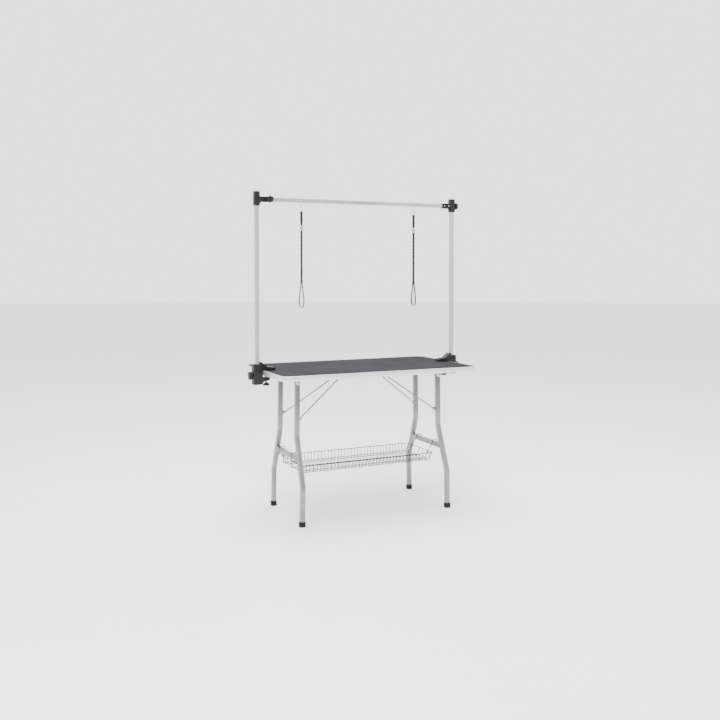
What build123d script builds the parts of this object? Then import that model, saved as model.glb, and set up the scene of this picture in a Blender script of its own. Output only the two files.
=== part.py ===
from build123d import *
import os
from math import atan2, cos, degrees, hypot, radians, sin, tan

# Folding pet grooming table: a rubber-topped table on two fold-under leg frames, with a
# clamp-on overhead arm that carries two nooses, and a wire basket between the frames.
# Millimetres. Z is up, X runs along the table, -Y is its front.
# The origin is on the floor, under the middle of the table top.

# ---------------------------------------------------------------- table top
TOP_LENGTH = 1070.0
TOP_WIDTH = 608.0
TOP_CORNER = 48.0
TOP_HEIGHT = 744.0
TRIM_HEIGHT = 25.0
TRIM_WALL = 1.5
TRIM_SHEET = 1.0
TRIM_TOP_LIP = 5.0
TRIM_BOTTOM_LIP = 13.0
MAT_THICKNESS = 4.0
UNDERSIDE = TOP_HEIGHT - TRIM_HEIGHT
BOARD_BOTTOM = UNDERSIDE + TRIM_SHEET
BOARD_TOP = TOP_HEIGHT - TRIM_SHEET - MAT_THICKNESS

# ---------------------------------------------------------------- leg frames
HINGE_X = 396.0
HINGE_Z = 690.0
HINGE_PIN_R = 4.0
SPLAY = 10.0
LEG_TUBE = 23.0
LEG_WALL = 1.5
LEG_BEND_R = 80.0
LEG_TOP_Y = 122.0
LEG_FOOT_Y = 210.0
UPPER_BEND = 270.0
LOWER_BEND = 495.0
CROSSBAR_DROP = 375.0
FOOT_SIZE = 28.0
FOOT_HEIGHT = 25.0
FOOT_SOLE = 4.0
TILT = atan2(SPLAY, HINGE_Z)

# ---------------------------------------------------------------- hinge brackets
BRACKET_SHEET = 2.5
BRACKET_GAP = 0.5
BRACKET_BASE = 56.0
BRACKET_CHEEK = 30.0
SCREW_R = 2.0
SCREW_HEAD_R = 4.2
SCREW_HEAD = 2.6
SCREW_DEPTH = 13.0
BRACKET_SCREW_X = 21.5

# ---------------------------------------------------------------- folding braces
BRACE_PIVOT_IN = 17.0
BRACE_PIVOT_Z = 508.0
BRACE_EYE_Y = 108.0
BRACE_EYE_R = 7.0
BRACE_EYE_SHEET = 3.0
BRACE_ROD_R = 3.25
BRACE_ROD_START = 6.5
RIVET_R = 3.0
RIVET_HEAD_R = 4.5
RIVET_HEAD = 3.0
LUG_SHEET = 3.0
APEX_X = 103.0
APEX_Z = 710.0
APEX_R = 3.5
APEX_HALF = {"left": 22.0, "right": 34.0}
APEX_OVERHANG = 5.0
CATCH_SHEET = 1.8
CATCH_HALF_WIDTH = 18.0
CATCH_BASE = 18.0

# ---------------------------------------------------------------- basket
BASKET_X0 = -388.5
BASKET_X1 = 361.5
BASKET_HALF_WIDTH = 142.0
BASKET_BOTTOM = 240.0
BASKET_RIM = 281.0
RIM_WIRE = 4.0
GRID_WIRE = 2.5
GRID_PITCH = 20.0
HOOK_WIRE_R = 1.9
HOOK_Y = 88.0
HOOK_BEND_R = 5.5

# ---------------------------------------------------------------- overhead arm
POST_X = 559.0
ARM_Y = 10.0
POST_TUBE = 20.0
POST_WALL = 1.5
POST_BOTTOM = 676.0
POST_TOP = 1622.0
BAR_Z = 1592.0
FITTING_SLEEVE = 28.5
FITTING_BOTTOM = 1560.0
FITTING_TOP = 1630.0
FITTING_STUB = 27.0
STUB_REACH = {"left": 62.0, "right": 50.0}
LEFT_KNOB_X = -496.0

# ---------------------------------------------------------------- table clamps
CLAMP_WIDTH = 42.0
CLAMP_DEPTH = 46.0
CLAMP_BOTTOM = 674.0
CLAMP_TOP = 775.0
CLAMP_BORE = 20.8
JAW_GAP = 0.3
UPPER_JAW_REACH = 65.0
UPPER_JAW = 15.0
LOWER_JAW_REACH = 36.0
LOWER_JAW_TOP = 708.0
LOWER_JAW_BOTTOM = 692.0
CLAMP_SCREW_X = 512.0
CLAMP_SCREW_R = 4.0
CLAMP_KNOB_Z = 719.0
RUNNING = 0.1
CLEAR = 0.4

# ---------------------------------------------------------------- nooses
NOOSE_X = 322.0
STAPLE_R = 8.5
STAPLE_WIRE_R = 1.5
STAPLE_Z = 1574.0
HOOK_LOOP_R = 5.5
HOOK_LOOP_WIRE_R = 1.4
RING_R = 8.0
RING_WIRE_R = 1.4
STRAP_WIDTH = 12.0
STRAP_THICKNESS = 1.8
STRAND_OFFSET = 2.4
SLIDER_TOP = 1468.0
SLIDER_HEIGHT = 26.0
SLIDER_WIDTH = 17.0
SLIDER_DEPTH = 10.4
SLIDER_SLOT = (7.6, 12.8)

SIDES = {"left": -1, "right": 1}
ENDS = {"front": -1, "rear": 1}

os.makedirs("parts", exist_ok=True)


def save(piece, name):
    """Labels a finished piece and writes it as parts/name.step."""
    piece.label = name
    export_step(piece, f"parts/{name}.step")


def front_plane(y):
    """The plane across the table at that Y: its x is X and its y is Z."""
    return Plane(origin=(0, y, 0), x_dir=(1, 0, 0), z_dir=(0, -1, 0))


def leg_plane(side):
    """The splayed plane of a leg frame: its x is Y, its y runs up the legs from the hinge."""
    return Plane(
        origin=(side * HINGE_X, 0, HINGE_Z),
        x_dir=(0, 1, 0),
        z_dir=(cos(TILT), 0, side * sin(TILT)),
    )


def on_leg(side, y, drop, inward=0.0):
    """The place of a point that lies drop below the hinge along the legs."""
    return leg_plane(side).from_local_coords(Vector(y, -drop, -side * inward))


# ================================================================ table top
with BuildPart() as edge_trim:
    with BuildSketch(Plane.XY.offset(UNDERSIDE)):
        RectangleRounded(TOP_LENGTH, TOP_WIDTH, TOP_CORNER)
    extrude(amount=TRIM_HEIGHT)
    for low, height, inset in (
        (BOARD_BOTTOM, TRIM_HEIGHT - 2 * TRIM_SHEET, TRIM_WALL),
        (UNDERSIDE, TRIM_SHEET, TRIM_BOTTOM_LIP),
        (TOP_HEIGHT - TRIM_SHEET, TRIM_SHEET, TRIM_TOP_LIP),
    ):
        with BuildSketch(Plane.XY.offset(low)):
            RectangleRounded(TOP_LENGTH - 2 * inset, TOP_WIDTH - 2 * inset, TOP_CORNER - inset)
        extrude(amount=height, mode=Mode.SUBTRACT)
save(edge_trim.part, "edge_trim")

BRACKET_SCREWS = [
    (side * HINGE_X + dx, end * LEG_TOP_Y)
    for side in SIDES.values()
    for end in ENDS.values()
    for dx in (-BRACKET_SCREW_X, BRACKET_SCREW_X)
]
CATCH_WALL_X = APEX_X + APEX_R + 0.8
CATCH_SCREWS = [
    (side * (CATCH_WALL_X + CATCH_SHEET + CATCH_BASE / 2), dy)
    for side in SIDES.values()
    for dy in (-CATCH_HALF_WIDTH / 2, CATCH_HALF_WIDTH / 2)
]

with BuildPart() as tabletop_board:
    with BuildSketch(Plane.XY.offset(BOARD_BOTTOM)):
        RectangleRounded(
            TOP_LENGTH - 2 * TRIM_WALL, TOP_WIDTH - 2 * TRIM_WALL, TOP_CORNER - TRIM_WALL
        )
    extrude(amount=BOARD_TOP - BOARD_BOTTOM)
    with BuildSketch(Plane.XY.offset(BOARD_BOTTOM)):
        with Locations(*BRACKET_SCREWS, *CATCH_SCREWS):
            Circle(SCREW_R)
    extrude(amount=SCREW_DEPTH, mode=Mode.SUBTRACT)
save(tabletop_board.part, "tabletop_board")

with BuildPart() as top_mat:
    with BuildSketch(Plane.XY.offset(BOARD_TOP)):
        RectangleRounded(
            TOP_LENGTH - 2 * TRIM_WALL, TOP_WIDTH - 2 * TRIM_WALL, TOP_CORNER - TRIM_WALL
        )
    extrude(amount=MAT_THICKNESS)
save(top_mat.part, "top_mat")

# Under the board: four hinge brackets, their pins, two brace catches and all the screws.
CHEEK_Y = LEG_TUBE / 2 + BRACKET_GAP
BRACKET_DROP = 12.0
with BuildPart() as hinge_brackets:
    for side in SIDES.values():
        for end in ENDS.values():
            middle = end * LEG_TOP_Y
            with Locations((side * HINGE_X, middle, BOARD_BOTTOM - BRACKET_SHEET / 2)):
                Box(BRACKET_BASE, 2 * (CHEEK_Y + BRACKET_SHEET), BRACKET_SHEET)
            for y in (middle - CHEEK_Y - BRACKET_SHEET, middle + CHEEK_Y):
                with BuildSketch(front_plane(y + BRACKET_SHEET)):
                    with Locations((side * HINGE_X, HINGE_Z)):
                        Circle(BRACKET_DROP + 1)
                    cheek_height = BOARD_BOTTOM - BRACKET_SHEET / 2 - HINGE_Z
                    with Locations((side * HINGE_X, HINGE_Z + cheek_height / 2)):
                        Trapezoid(BRACKET_CHEEK, cheek_height, 82, rotation=180)
                extrude(amount=BRACKET_SHEET)
            with Locations((side * HINGE_X, middle, HINGE_Z)):
                Cylinder(HINGE_PIN_R, LEG_TUBE * 2, rotation=(90, 0, 0), mode=Mode.SUBTRACT)
    with BuildSketch(Plane.XY.offset(BOARD_BOTTOM - BRACKET_SHEET)):
        with Locations(*BRACKET_SCREWS):
            Circle(SCREW_R)
    extrude(amount=BRACKET_SHEET, mode=Mode.SUBTRACT)
save(hinge_brackets.part, "hinge_brackets")

PIN_HEAD_R = 6.5
PIN_HEAD = 3.0
with BuildPart() as hinge_pins:
    pin_length = 2 * (CHEEK_Y + BRACKET_SHEET)
    for side in SIDES.values():
        for end in ENDS.values():
            with Locations((side * HINGE_X, end * LEG_TOP_Y, HINGE_Z)):
                Cylinder(HINGE_PIN_R, pin_length, rotation=(90, 0, 0))
            for head_y in (-1, 1):
                y = end * LEG_TOP_Y + head_y * (pin_length + PIN_HEAD) / 2
                with Locations((side * HINGE_X, y, HINGE_Z)):
                    Cylinder(PIN_HEAD_R, PIN_HEAD, rotation=(90, 0, 0))
save(hinge_pins.part, "hinge_pins")

CATCH_LIP_TOP = APEX_Z - APEX_R - 0.3
with BuildPart() as brace_catches:
    for side in SIDES.values():
        wall_x = side * (CATCH_WALL_X + CATCH_SHEET / 2)
        base_x = side * (CATCH_WALL_X + (CATCH_SHEET + CATCH_BASE) / 2)
        lip_x0 = APEX_X + 1.0
        lip_x = side * (lip_x0 + CATCH_WALL_X) / 2
        catch_low = CATCH_LIP_TOP - CATCH_SHEET
        with Locations((base_x, 0, BOARD_BOTTOM - CATCH_SHEET / 2)):
            Box(CATCH_SHEET + CATCH_BASE, 2 * CATCH_HALF_WIDTH, CATCH_SHEET)
        with Locations((wall_x, 0, (BOARD_BOTTOM + catch_low) / 2)):
            Box(CATCH_SHEET, 2 * CATCH_HALF_WIDTH, BOARD_BOTTOM - catch_low)
        with Locations((lip_x, 0, CATCH_LIP_TOP - CATCH_SHEET / 2)):
            Box(CATCH_WALL_X - lip_x0, 2 * CATCH_HALF_WIDTH, CATCH_SHEET)
    with BuildSketch(Plane.XY.offset(BOARD_BOTTOM - CATCH_SHEET)):
        with Locations(*CATCH_SCREWS):
            Circle(SCREW_R)
    extrude(amount=CATCH_SHEET, mode=Mode.SUBTRACT)
save(brace_catches.part, "brace_catches")

with BuildPart() as underside_screws:
    for places, sheet in ((BRACKET_SCREWS, BRACKET_SHEET), (CATCH_SCREWS, CATCH_SHEET)):
        with BuildSketch(Plane.XY.offset(BOARD_BOTTOM - sheet)):
            with Locations(*places):
                Circle(SCREW_R)
        extrude(amount=sheet + SCREW_DEPTH)
        with BuildSketch(Plane.XY.offset(BOARD_BOTTOM - sheet)):
            with Locations(*places):
                Circle(SCREW_HEAD_R)
        extrude(amount=-SCREW_HEAD)
save(underside_screws.part, "underside_screws")


# ================================================================ leg frames
def leg_bar(side, end, width, foot_drop):
    """A square bar along one leg's bent line, from its top end to foot_drop below the hinge."""
    with BuildPart() as bar:
        with BuildLine(leg_plane(side)) as line:
            FilletPolyline(
                (end * LEG_TOP_Y, LEG_TUBE / 2),
                (end * LEG_TOP_Y, -UPPER_BEND),
                (end * LEG_FOOT_Y, -LOWER_BEND),
                (end * LEG_FOOT_Y, -foot_drop),
                radius=LEG_BEND_R,
            )
        start = Plane(origin=line.line @ 0, x_dir=(0, 1, 0), z_dir=line.line % 0)
        with BuildSketch(start) as section:
            Rectangle(width, width)
        sweep(sections=section.sketch, path=line.line)
    return bar.part


FOOT_DROP = (HINGE_Z - FOOT_SOLE - 0.3) / cos(TILT)
for side_name, side in SIDES.items():
    envelopes = {}
    for end_name, end in ENDS.items():
        envelopes[end] = leg_bar(side, end, LEG_TUBE, FOOT_DROP)
        with BuildPart() as leg:
            add(envelopes[end])
            add(leg_bar(side, end, LEG_TUBE - 2 * LEG_WALL, FOOT_DROP), mode=Mode.SUBTRACT)
            with Locations((side * HINGE_X, end * LEG_TOP_Y, HINGE_Z)):
                Cylinder(
                    HINGE_PIN_R + RUNNING, LEG_TUBE * 2, rotation=(90, 0, 0), mode=Mode.SUBTRACT
                )
        save(leg.part, f"{side_name}_{end_name}_leg")

    bar_middle = on_leg(side, 0, CROSSBAR_DROP)
    slope = (LEG_FOOT_Y - LEG_TOP_Y) / (LOWER_BEND - UPPER_BEND)
    bar_half = LEG_TOP_Y + slope * (CROSSBAR_DROP - UPPER_BEND)
    bar_start = Plane(
        origin=bar_middle - Vector(0, bar_half, 0),
        x_dir=(cos(TILT), 0, side * sin(TILT)),
        z_dir=(0, 1, 0),
    )
    with BuildPart() as crossbar:
        with BuildSketch(bar_start):
            Rectangle(LEG_TUBE, LEG_TUBE)
            Rectangle(LEG_TUBE - 2 * LEG_WALL, LEG_TUBE - 2 * LEG_WALL, mode=Mode.SUBTRACT)
        extrude(amount=2 * bar_half)
        for end in ENDS.values():
            add(envelopes[end], mode=Mode.SUBTRACT)
    save(crossbar.part, f"{side_name}_crossbar")

    with BuildPart() as feet:
        for end in ENDS.values():
            foot_x = side * (HINGE_X + SPLAY)
            with BuildSketch(Plane.XY):
                with Locations((foot_x, end * LEG_FOOT_Y)):
                    RectangleRounded(FOOT_SIZE, FOOT_SIZE, 4)
            extrude(amount=FOOT_HEIGHT)
            add(envelopes[end], mode=Mode.SUBTRACT)
    save(feet.part, f"{side_name}_feet")

    pivot_x = side * (HINGE_X - BRACE_PIVOT_IN)
    lug_y = LEG_TOP_Y - LEG_TUBE / 2 + LUG_SHEET / 2
    with BuildPart() as brace_lugs:
        for end in ENDS.values():
            with BuildSketch(front_plane(end * lug_y + LUG_SHEET / 2)):
                with Locations((pivot_x, BRACE_PIVOT_Z)):
                    Circle(8)
                with Locations((pivot_x + side * 7, BRACE_PIVOT_Z)):
                    Rectangle(14, 16)
                with Locations((pivot_x, BRACE_PIVOT_Z)):
                    Circle(RIVET_R, mode=Mode.SUBTRACT)
            extrude(amount=LUG_SHEET)
            add(envelopes[end], mode=Mode.SUBTRACT)
    save(brace_lugs.part, f"{side_name}_brace_lugs")

    rivet_in = BRACE_EYE_Y - BRACE_EYE_SHEET / 2 - 0.3
    rivet_out = LEG_TOP_Y - LEG_TUBE / 2 + LUG_SHEET
    with BuildPart() as brace_rivets:
        for end in ENDS.values():
            for y0, y1, r in (
                (rivet_in - RIVET_HEAD, rivet_in, RIVET_HEAD_R),
                (rivet_in - RIVET_HEAD, rivet_out + RIVET_HEAD, RIVET_R),
                (rivet_out, rivet_out + RIVET_HEAD, RIVET_HEAD_R),
            ):
                with Locations((pivot_x, end * (y0 + y1) / 2, BRACE_PIVOT_Z)):
                    Cylinder(r, y1 - y0, rotation=(90, 0, 0))
    save(brace_rivets.part, f"{side_name}_brace_rivets")

    # ------------------------------------------------ the brace, hinged on the rivets
    apex_half = APEX_HALF[side_name]
    apex = Vector(side * APEX_X, 0, APEX_Z)
    for end_name, end in ENDS.items():
        eye = Vector(pivot_x, end * BRACE_EYE_Y, BRACE_PIVOT_Z)
        tip = apex + Vector(0, end * apex_half, 0)
        along = (tip - eye).normalized()
        with BuildPart() as rod:
            with BuildSketch(Plane(origin=eye + along * BRACE_ROD_START, z_dir=along)):
                Circle(BRACE_ROD_R)
            extrude(amount=(tip - eye).length - BRACE_ROD_START)
            with Locations(eye):
                Cylinder(BRACE_EYE_R, BRACE_EYE_SHEET, rotation=(90, 0, 0))
                Cylinder(
                    RIVET_R + RUNNING, BRACE_EYE_SHEET * 2, rotation=(90, 0, 0), mode=Mode.SUBTRACT
                )
            with Locations(apex):
                Cylinder(APEX_R, 4 * apex_half, rotation=(90, 0, 0), mode=Mode.SUBTRACT)
        save(rod.part, f"{side_name}_brace_{end_name}_rod")
    with BuildPart() as apex_bar:
        with Locations(apex):
            Cylinder(APEX_R, 2 * (apex_half + APEX_OVERHANG), rotation=(90, 0, 0))
    save(apex_bar.part, f"{side_name}_brace_apex_bar")

# ================================================================ basket and its hooks
HOOK_ROUTES = {
    "left": [
        (-386.0, 284.0),
        (-398.0, 292.0),
        (-417.5, 299.0),
        (-417.5, 331.0),
        (-401.0, 338.5),
        (-385.0, 331.0),
        (-385.0, 317.0),
    ],
    "right": [
        (385.9, 321.2),
        (387.8, 333.0),
        (401.0, 339.0),
        (415.8, 332.0),
        (416.6, 315.0),
    ],
}
# At the right end, the slanted feet of the hooks belong to the basket and end below the hooks.
HOOK_FOOT = ((359.5, 280.0), (385.4, 318.6))
for side_name, route in HOOK_ROUTES.items():
    with BuildPart() as basket_hooks:
        for y in (-HOOK_Y, HOOK_Y):
            with BuildLine(front_plane(y)) as wire:
                FilletPolyline(*route, radius=HOOK_BEND_R)
            with BuildSketch(Plane(origin=wire.line @ 0, z_dir=wire.line % 0)) as section:
                Circle(HOOK_WIRE_R)
            sweep(sections=section.sketch, path=wire.line)
    save(basket_hooks.part, f"{side_name}_basket_hooks")

BASKET_LENGTH = BASKET_X1 - BASKET_X0
BASKET_MIDDLE = (BASKET_X0 + BASKET_X1) / 2
FLOOR_TOP = BASKET_BOTTOM + GRID_WIRE
GRID_COUNT = int((BASKET_LENGTH - 2 * RIM_WIRE) // GRID_PITCH) + 1
FLOOR_RUNNERS = (-132.0, -78.0, -26.0, 26.0, 78.0, 132.0)

with BuildPart() as basket_floor:
    with Locations((BASKET_MIDDLE, 0, BASKET_BOTTOM + GRID_WIRE / 2)):
        with GridLocations(GRID_PITCH, 0, GRID_COUNT, 1):
            Box(GRID_WIRE, 2 * BASKET_HALF_WIDTH, GRID_WIRE)
    with Locations(*[(BASKET_MIDDLE, y, BASKET_BOTTOM + GRID_WIRE / 2) for y in FLOOR_RUNNERS]):
        Box(BASKET_LENGTH, GRID_WIRE, GRID_WIRE)
save(basket_floor.part, "basket_floor")

for wall_name, end in (("basket_front_wall", -1), ("basket_back_wall", 1)):
    wall_y = end * (BASKET_HALF_WIDTH - RIM_WIRE / 2)
    with BuildPart() as long_wall:
        with Locations((BASKET_MIDDLE, wall_y, BASKET_RIM - RIM_WIRE / 2)):
            Box(BASKET_LENGTH, RIM_WIRE, RIM_WIRE)
        with Locations((BASKET_MIDDLE, wall_y, (FLOOR_TOP + BASKET_RIM) / 2 - RIM_WIRE / 4)):
            with GridLocations(GRID_PITCH, 0, GRID_COUNT, 1):
                Box(GRID_WIRE, GRID_WIRE, BASKET_RIM - FLOOR_TOP - RIM_WIRE / 2)
    save(long_wall.part, wall_name)

END_RAIL_Z = (FLOOR_TOP + BASKET_RIM) / 2
for wall_name, wall_x in (
    ("basket_left_end", BASKET_X0 + RIM_WIRE / 2),
    ("basket_right_end", BASKET_X1 - RIM_WIRE / 2),
):
    end_half = BASKET_HALF_WIDTH - RIM_WIRE
    with BuildPart() as end_wall:
        with Locations((wall_x, 0, BASKET_RIM - RIM_WIRE / 2)):
            Box(RIM_WIRE, 2 * end_half, RIM_WIRE)
        with Locations((wall_x, 0, END_RAIL_Z)):
            Box(GRID_WIRE, 2 * end_half, GRID_WIRE)
        for y in (-end_half + GRID_WIRE / 2, -HOOK_Y, 0, HOOK_Y, end_half - GRID_WIRE / 2):
            with Locations((wall_x, y, (FLOOR_TOP + BASKET_RIM) / 2 - RIM_WIRE / 4)):
                Box(GRID_WIRE, GRID_WIRE, BASKET_RIM - FLOOR_TOP - RIM_WIRE / 2)
        if wall_x > 0:
            foot_low, foot_high = (Vector(x, 0, z) for x, z in HOOK_FOOT)
            climb = foot_high - foot_low
            for y in (-HOOK_Y, HOOK_Y):
                with BuildSketch(Plane(origin=foot_low + Vector(0, y, 0), z_dir=climb)):
                    Circle(HOOK_WIRE_R)
                extrude(amount=climb.length)
    save(end_wall.part, wall_name)


# ================================================================ overhead arm
for side_name, side in SIDES.items():
    with BuildPart() as post:
        with BuildSketch(Plane.XY.offset(POST_BOTTOM)):
            with Locations((side * POST_X, ARM_Y)):
                RectangleRounded(POST_TUBE, POST_TUBE, 2)
                inner = POST_TUBE - 2 * POST_WALL
                RectangleRounded(inner, inner, 0.6, mode=Mode.SUBTRACT)
        extrude(amount=POST_TOP - POST_BOTTOM)
    save(post.part, f"{side_name}_post")

BAR_HALF = POST_X - POST_TUBE / 2 - 0.5
with BuildPart() as top_bar:
    with BuildSketch(Plane(origin=(-BAR_HALF, ARM_Y, BAR_Z), x_dir=(0, 1, 0), z_dir=(1, 0, 0))):
        RectangleRounded(POST_TUBE, POST_TUBE, 2)
        RectangleRounded(POST_TUBE - 3, POST_TUBE - 3, 0.6, mode=Mode.SUBTRACT)
    extrude(amount=2 * BAR_HALF)
    staple_feet = [
        (side * NOOSE_X + dx, ARM_Y, BAR_Z - POST_TUBE / 2)
        for side in SIDES.values()
        for dx in (-STAPLE_R, STAPLE_R)
    ]
    with Locations(*staple_feet):
        Cylinder(STAPLE_WIRE_R, 8, mode=Mode.SUBTRACT)
save(top_bar.part, "top_bar")

KNOB_SETTINGS = {
    "left_fitting": {
        "plane": Plane(
            origin=(LEFT_KNOB_X, ARM_Y - FITTING_STUB / 2, BAR_Z), x_dir=(1, 0, 0), z_dir=(0, -1, 0)
        ),
        "wall": (FITTING_STUB - POST_TUBE) / 2,
        "size": (35.0, 15.0, 8),
    },
    "right_fitting": {
        "plane": Plane(
            origin=(POST_X + FITTING_SLEEVE / 2, ARM_Y, BAR_Z), x_dir=(0, 1, 0), z_dir=(1, 0, 0)
        ),
        "wall": (FITTING_SLEEVE - POST_TUBE) / 2,
        "size": (35.0, 15.0, 8),
    },
    "left_clamp": {
        "plane": Plane(
            origin=(-POST_X - CLAMP_DEPTH / 2, ARM_Y, CLAMP_KNOB_Z),
            x_dir=(0, 1, 0),
            z_dir=(-1, 0, 0),
        ),
        "wall": (CLAMP_DEPTH - POST_TUBE) / 2,
        "size": (40.0, 17.0, 7),
    },
    "right_clamp": {
        "plane": Plane(
            origin=(POST_X + CLAMP_DEPTH / 2, ARM_Y, CLAMP_KNOB_Z), x_dir=(0, 1, 0), z_dir=(1, 0, 0)
        ),
        "wall": (CLAMP_DEPTH - POST_TUBE) / 2,
        "size": (40.0, 17.0, 7),
    },
}
STUD_R = 4.0
HUB = 4.0
for knob_name, setting in KNOB_SETTINGS.items():
    plane = setting["plane"]
    diameter, depth, lobes = setting["size"]
    lobe_ring = diameter * 0.36
    with BuildPart() as star_knob:
        with BuildSketch(plane.offset(CLEAR)):
            Circle(diameter * 0.26)
        extrude(amount=HUB)
        with BuildSketch(plane.offset(CLEAR + HUB)):
            Circle(lobe_ring)
            with PolarLocations(lobe_ring, lobes):
                Circle(diameter * 0.14)
        extrude(amount=depth)
        chamfer(star_knob.faces().sort_by(Axis(plane.origin, plane.z_dir))[-1].edges(), 1.2)
        with BuildSketch(plane.offset(CLEAR)):
            Circle(STUD_R)
        extrude(amount=HUB + depth * 0.6, mode=Mode.SUBTRACT)
    save(star_knob.part, f"{knob_name}_knob")
    with BuildPart() as stud:
        with BuildSketch(plane.offset(-setting["wall"] + 0.3)):
            Circle(STUD_R)
        extrude(amount=setting["wall"] - 0.3 + CLEAR + HUB + depth * 0.6)
    save(stud.part, f"{knob_name}_stud")


def stud_hole(knob_name):
    """The running hole for a knob's stud, as a solid to cut from the wall it is screwed into."""
    setting = KNOB_SETTINGS[knob_name]
    with BuildPart() as hole:
        with BuildSketch(setting["plane"].offset(-setting["wall"] - 2)):
            Circle(STUD_R + RUNNING)
        extrude(amount=setting["wall"] + 4)
    return hole.part


for side_name, side in SIDES.items():
    reach = STUB_REACH[side_name]
    stub_start = POST_X - FITTING_SLEEVE / 2
    with BuildPart() as corner_fitting:
        with BuildSketch(Plane.XY.offset(FITTING_BOTTOM)):
            with Locations((side * POST_X, ARM_Y)):
                RectangleRounded(FITTING_SLEEVE, FITTING_SLEEVE, 3)
        extrude(amount=FITTING_TOP - FITTING_BOTTOM)
        stub_plane = Plane(
            origin=(side * (stub_start + 4), ARM_Y, BAR_Z), x_dir=(0, 1, 0), z_dir=(-side, 0, 0)
        )
        with BuildSketch(stub_plane):
            RectangleRounded(FITTING_STUB, FITTING_STUB, 3)
        extrude(amount=reach + 4)
        with BuildSketch(Plane.XY.offset(FITTING_BOTTOM)):
            with Locations((side * POST_X, ARM_Y)):
                RectangleRounded(POST_TUBE, POST_TUBE, 2)
        extrude(amount=POST_TOP - FITTING_BOTTOM, mode=Mode.SUBTRACT)
        bar_plane = Plane(
            origin=(side * BAR_HALF, ARM_Y, BAR_Z), x_dir=(0, 1, 0), z_dir=(-side, 0, 0)
        )
        with BuildSketch(bar_plane):
            RectangleRounded(POST_TUBE, POST_TUBE, 2)
        extrude(amount=reach + 20, mode=Mode.SUBTRACT)
        add(stud_hole(f"{side_name}_fitting"), mode=Mode.SUBTRACT)
    save(corner_fitting.part, f"{side_name}_corner_fitting")

# ================================================================ table clamps
EDGE_X = TOP_LENGTH / 2
for side_name, side in SIDES.items():
    sleeve_in = POST_X - CLAMP_DEPTH / 2
    sleeve_out = POST_X + CLAMP_DEPTH / 2
    jaw_low = TOP_HEIGHT + JAW_GAP
    jaw_top = jaw_low + UPPER_JAW
    bore_in = POST_X - CLAMP_BORE / 2
    outline = [
        (sleeve_out, CLAMP_BOTTOM),
        (sleeve_out, CLAMP_TOP),
        (bore_in, CLAMP_TOP),
        (bore_in, CLAMP_TOP + 12),
        (bore_in - 6, CLAMP_TOP + 12),
        (EDGE_X - 22, jaw_top + 3),
        (EDGE_X - UPPER_JAW_REACH + 4, jaw_top - 2),
        (EDGE_X - UPPER_JAW_REACH, jaw_top - 6),
        (EDGE_X - UPPER_JAW_REACH, jaw_low),
        (sleeve_in, jaw_low),
        (sleeve_in, LOWER_JAW_TOP),
        (EDGE_X - LOWER_JAW_REACH, LOWER_JAW_TOP),
        (EDGE_X - LOWER_JAW_REACH, LOWER_JAW_BOTTOM + 3),
        (EDGE_X - 6, LOWER_JAW_BOTTOM - 3),
        (sleeve_in + 6, CLAMP_BOTTOM),
    ]
    with BuildPart() as clamp_body:
        with BuildSketch(front_plane(ARM_Y + CLAMP_WIDTH / 2)):
            with BuildLine():
                Polyline(*[(side * x, z) for x, z in outline], close=True)
            make_face()
        extrude(amount=CLAMP_WIDTH)
        upright = clamp_body.edges().filter_by(Axis.Z).sort_by(Axis.X)
        outer = upright[:2] if side < 0 else upright[-2:]
        fillet(outer, 6)
        with BuildSketch(Plane.XY.offset(CLAMP_BOTTOM)):
            with Locations((side * POST_X, ARM_Y)):
                Rectangle(CLAMP_BORE, CLAMP_BORE)
        extrude(amount=CLAMP_TOP - CLAMP_BOTTOM + 30, mode=Mode.SUBTRACT)
        with BuildSketch(Plane.XY.offset(LOWER_JAW_TOP + 2)):
            with Locations((side * CLAMP_SCREW_X, ARM_Y)):
                Circle(CLAMP_SCREW_R + RUNNING)
        extrude(amount=-(LOWER_JAW_TOP - CLAMP_BOTTOM), mode=Mode.SUBTRACT)
        add(stud_hole(f"{side_name}_clamp"), mode=Mode.SUBTRACT)
    save(clamp_body.part, f"{side_name}_clamp_body")

    # The pressure screw: its swivel pad almost meets the trim, its disc grip hangs below.
    grip_top = 681.0
    grip_bottom = 667.0
    pad_top = UNDERSIDE - 0.3
    with BuildPart() as clamp_screw:
        for low, high, r in (
            (grip_bottom + 5, pad_top - 2, CLAMP_SCREW_R),
            (pad_top - 4, pad_top, 9.0),
        ):
            with BuildSketch(Plane.XY.offset(low)):
                with Locations((side * CLAMP_SCREW_X, ARM_Y)):
                    Circle(r)
            extrude(amount=high - low)
    save(clamp_screw.part, f"{side_name}_clamp_screw")
    with BuildPart() as screw_grip:
        for low, high, r in ((grip_bottom, grip_bottom + 9, 17.5), (grip_bottom + 9, grip_top, 8.5)):
            with BuildSketch(Plane.XY.offset(low)):
                with Locations((side * CLAMP_SCREW_X, ARM_Y)):
                    Circle(r)
            extrude(amount=high - low)
        fillet(screw_grip.edges().filter_by(GeomType.CIRCLE).group_by(Axis.Z)[0], 3)
        with BuildSketch(Plane.XY.offset(grip_bottom + 5)):
            with Locations((side * CLAMP_SCREW_X, ARM_Y)):
                Circle(CLAMP_SCREW_R)
        extrude(amount=30, mode=Mode.SUBTRACT)
    save(screw_grip.part, f"{side_name}_screw_grip")

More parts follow.
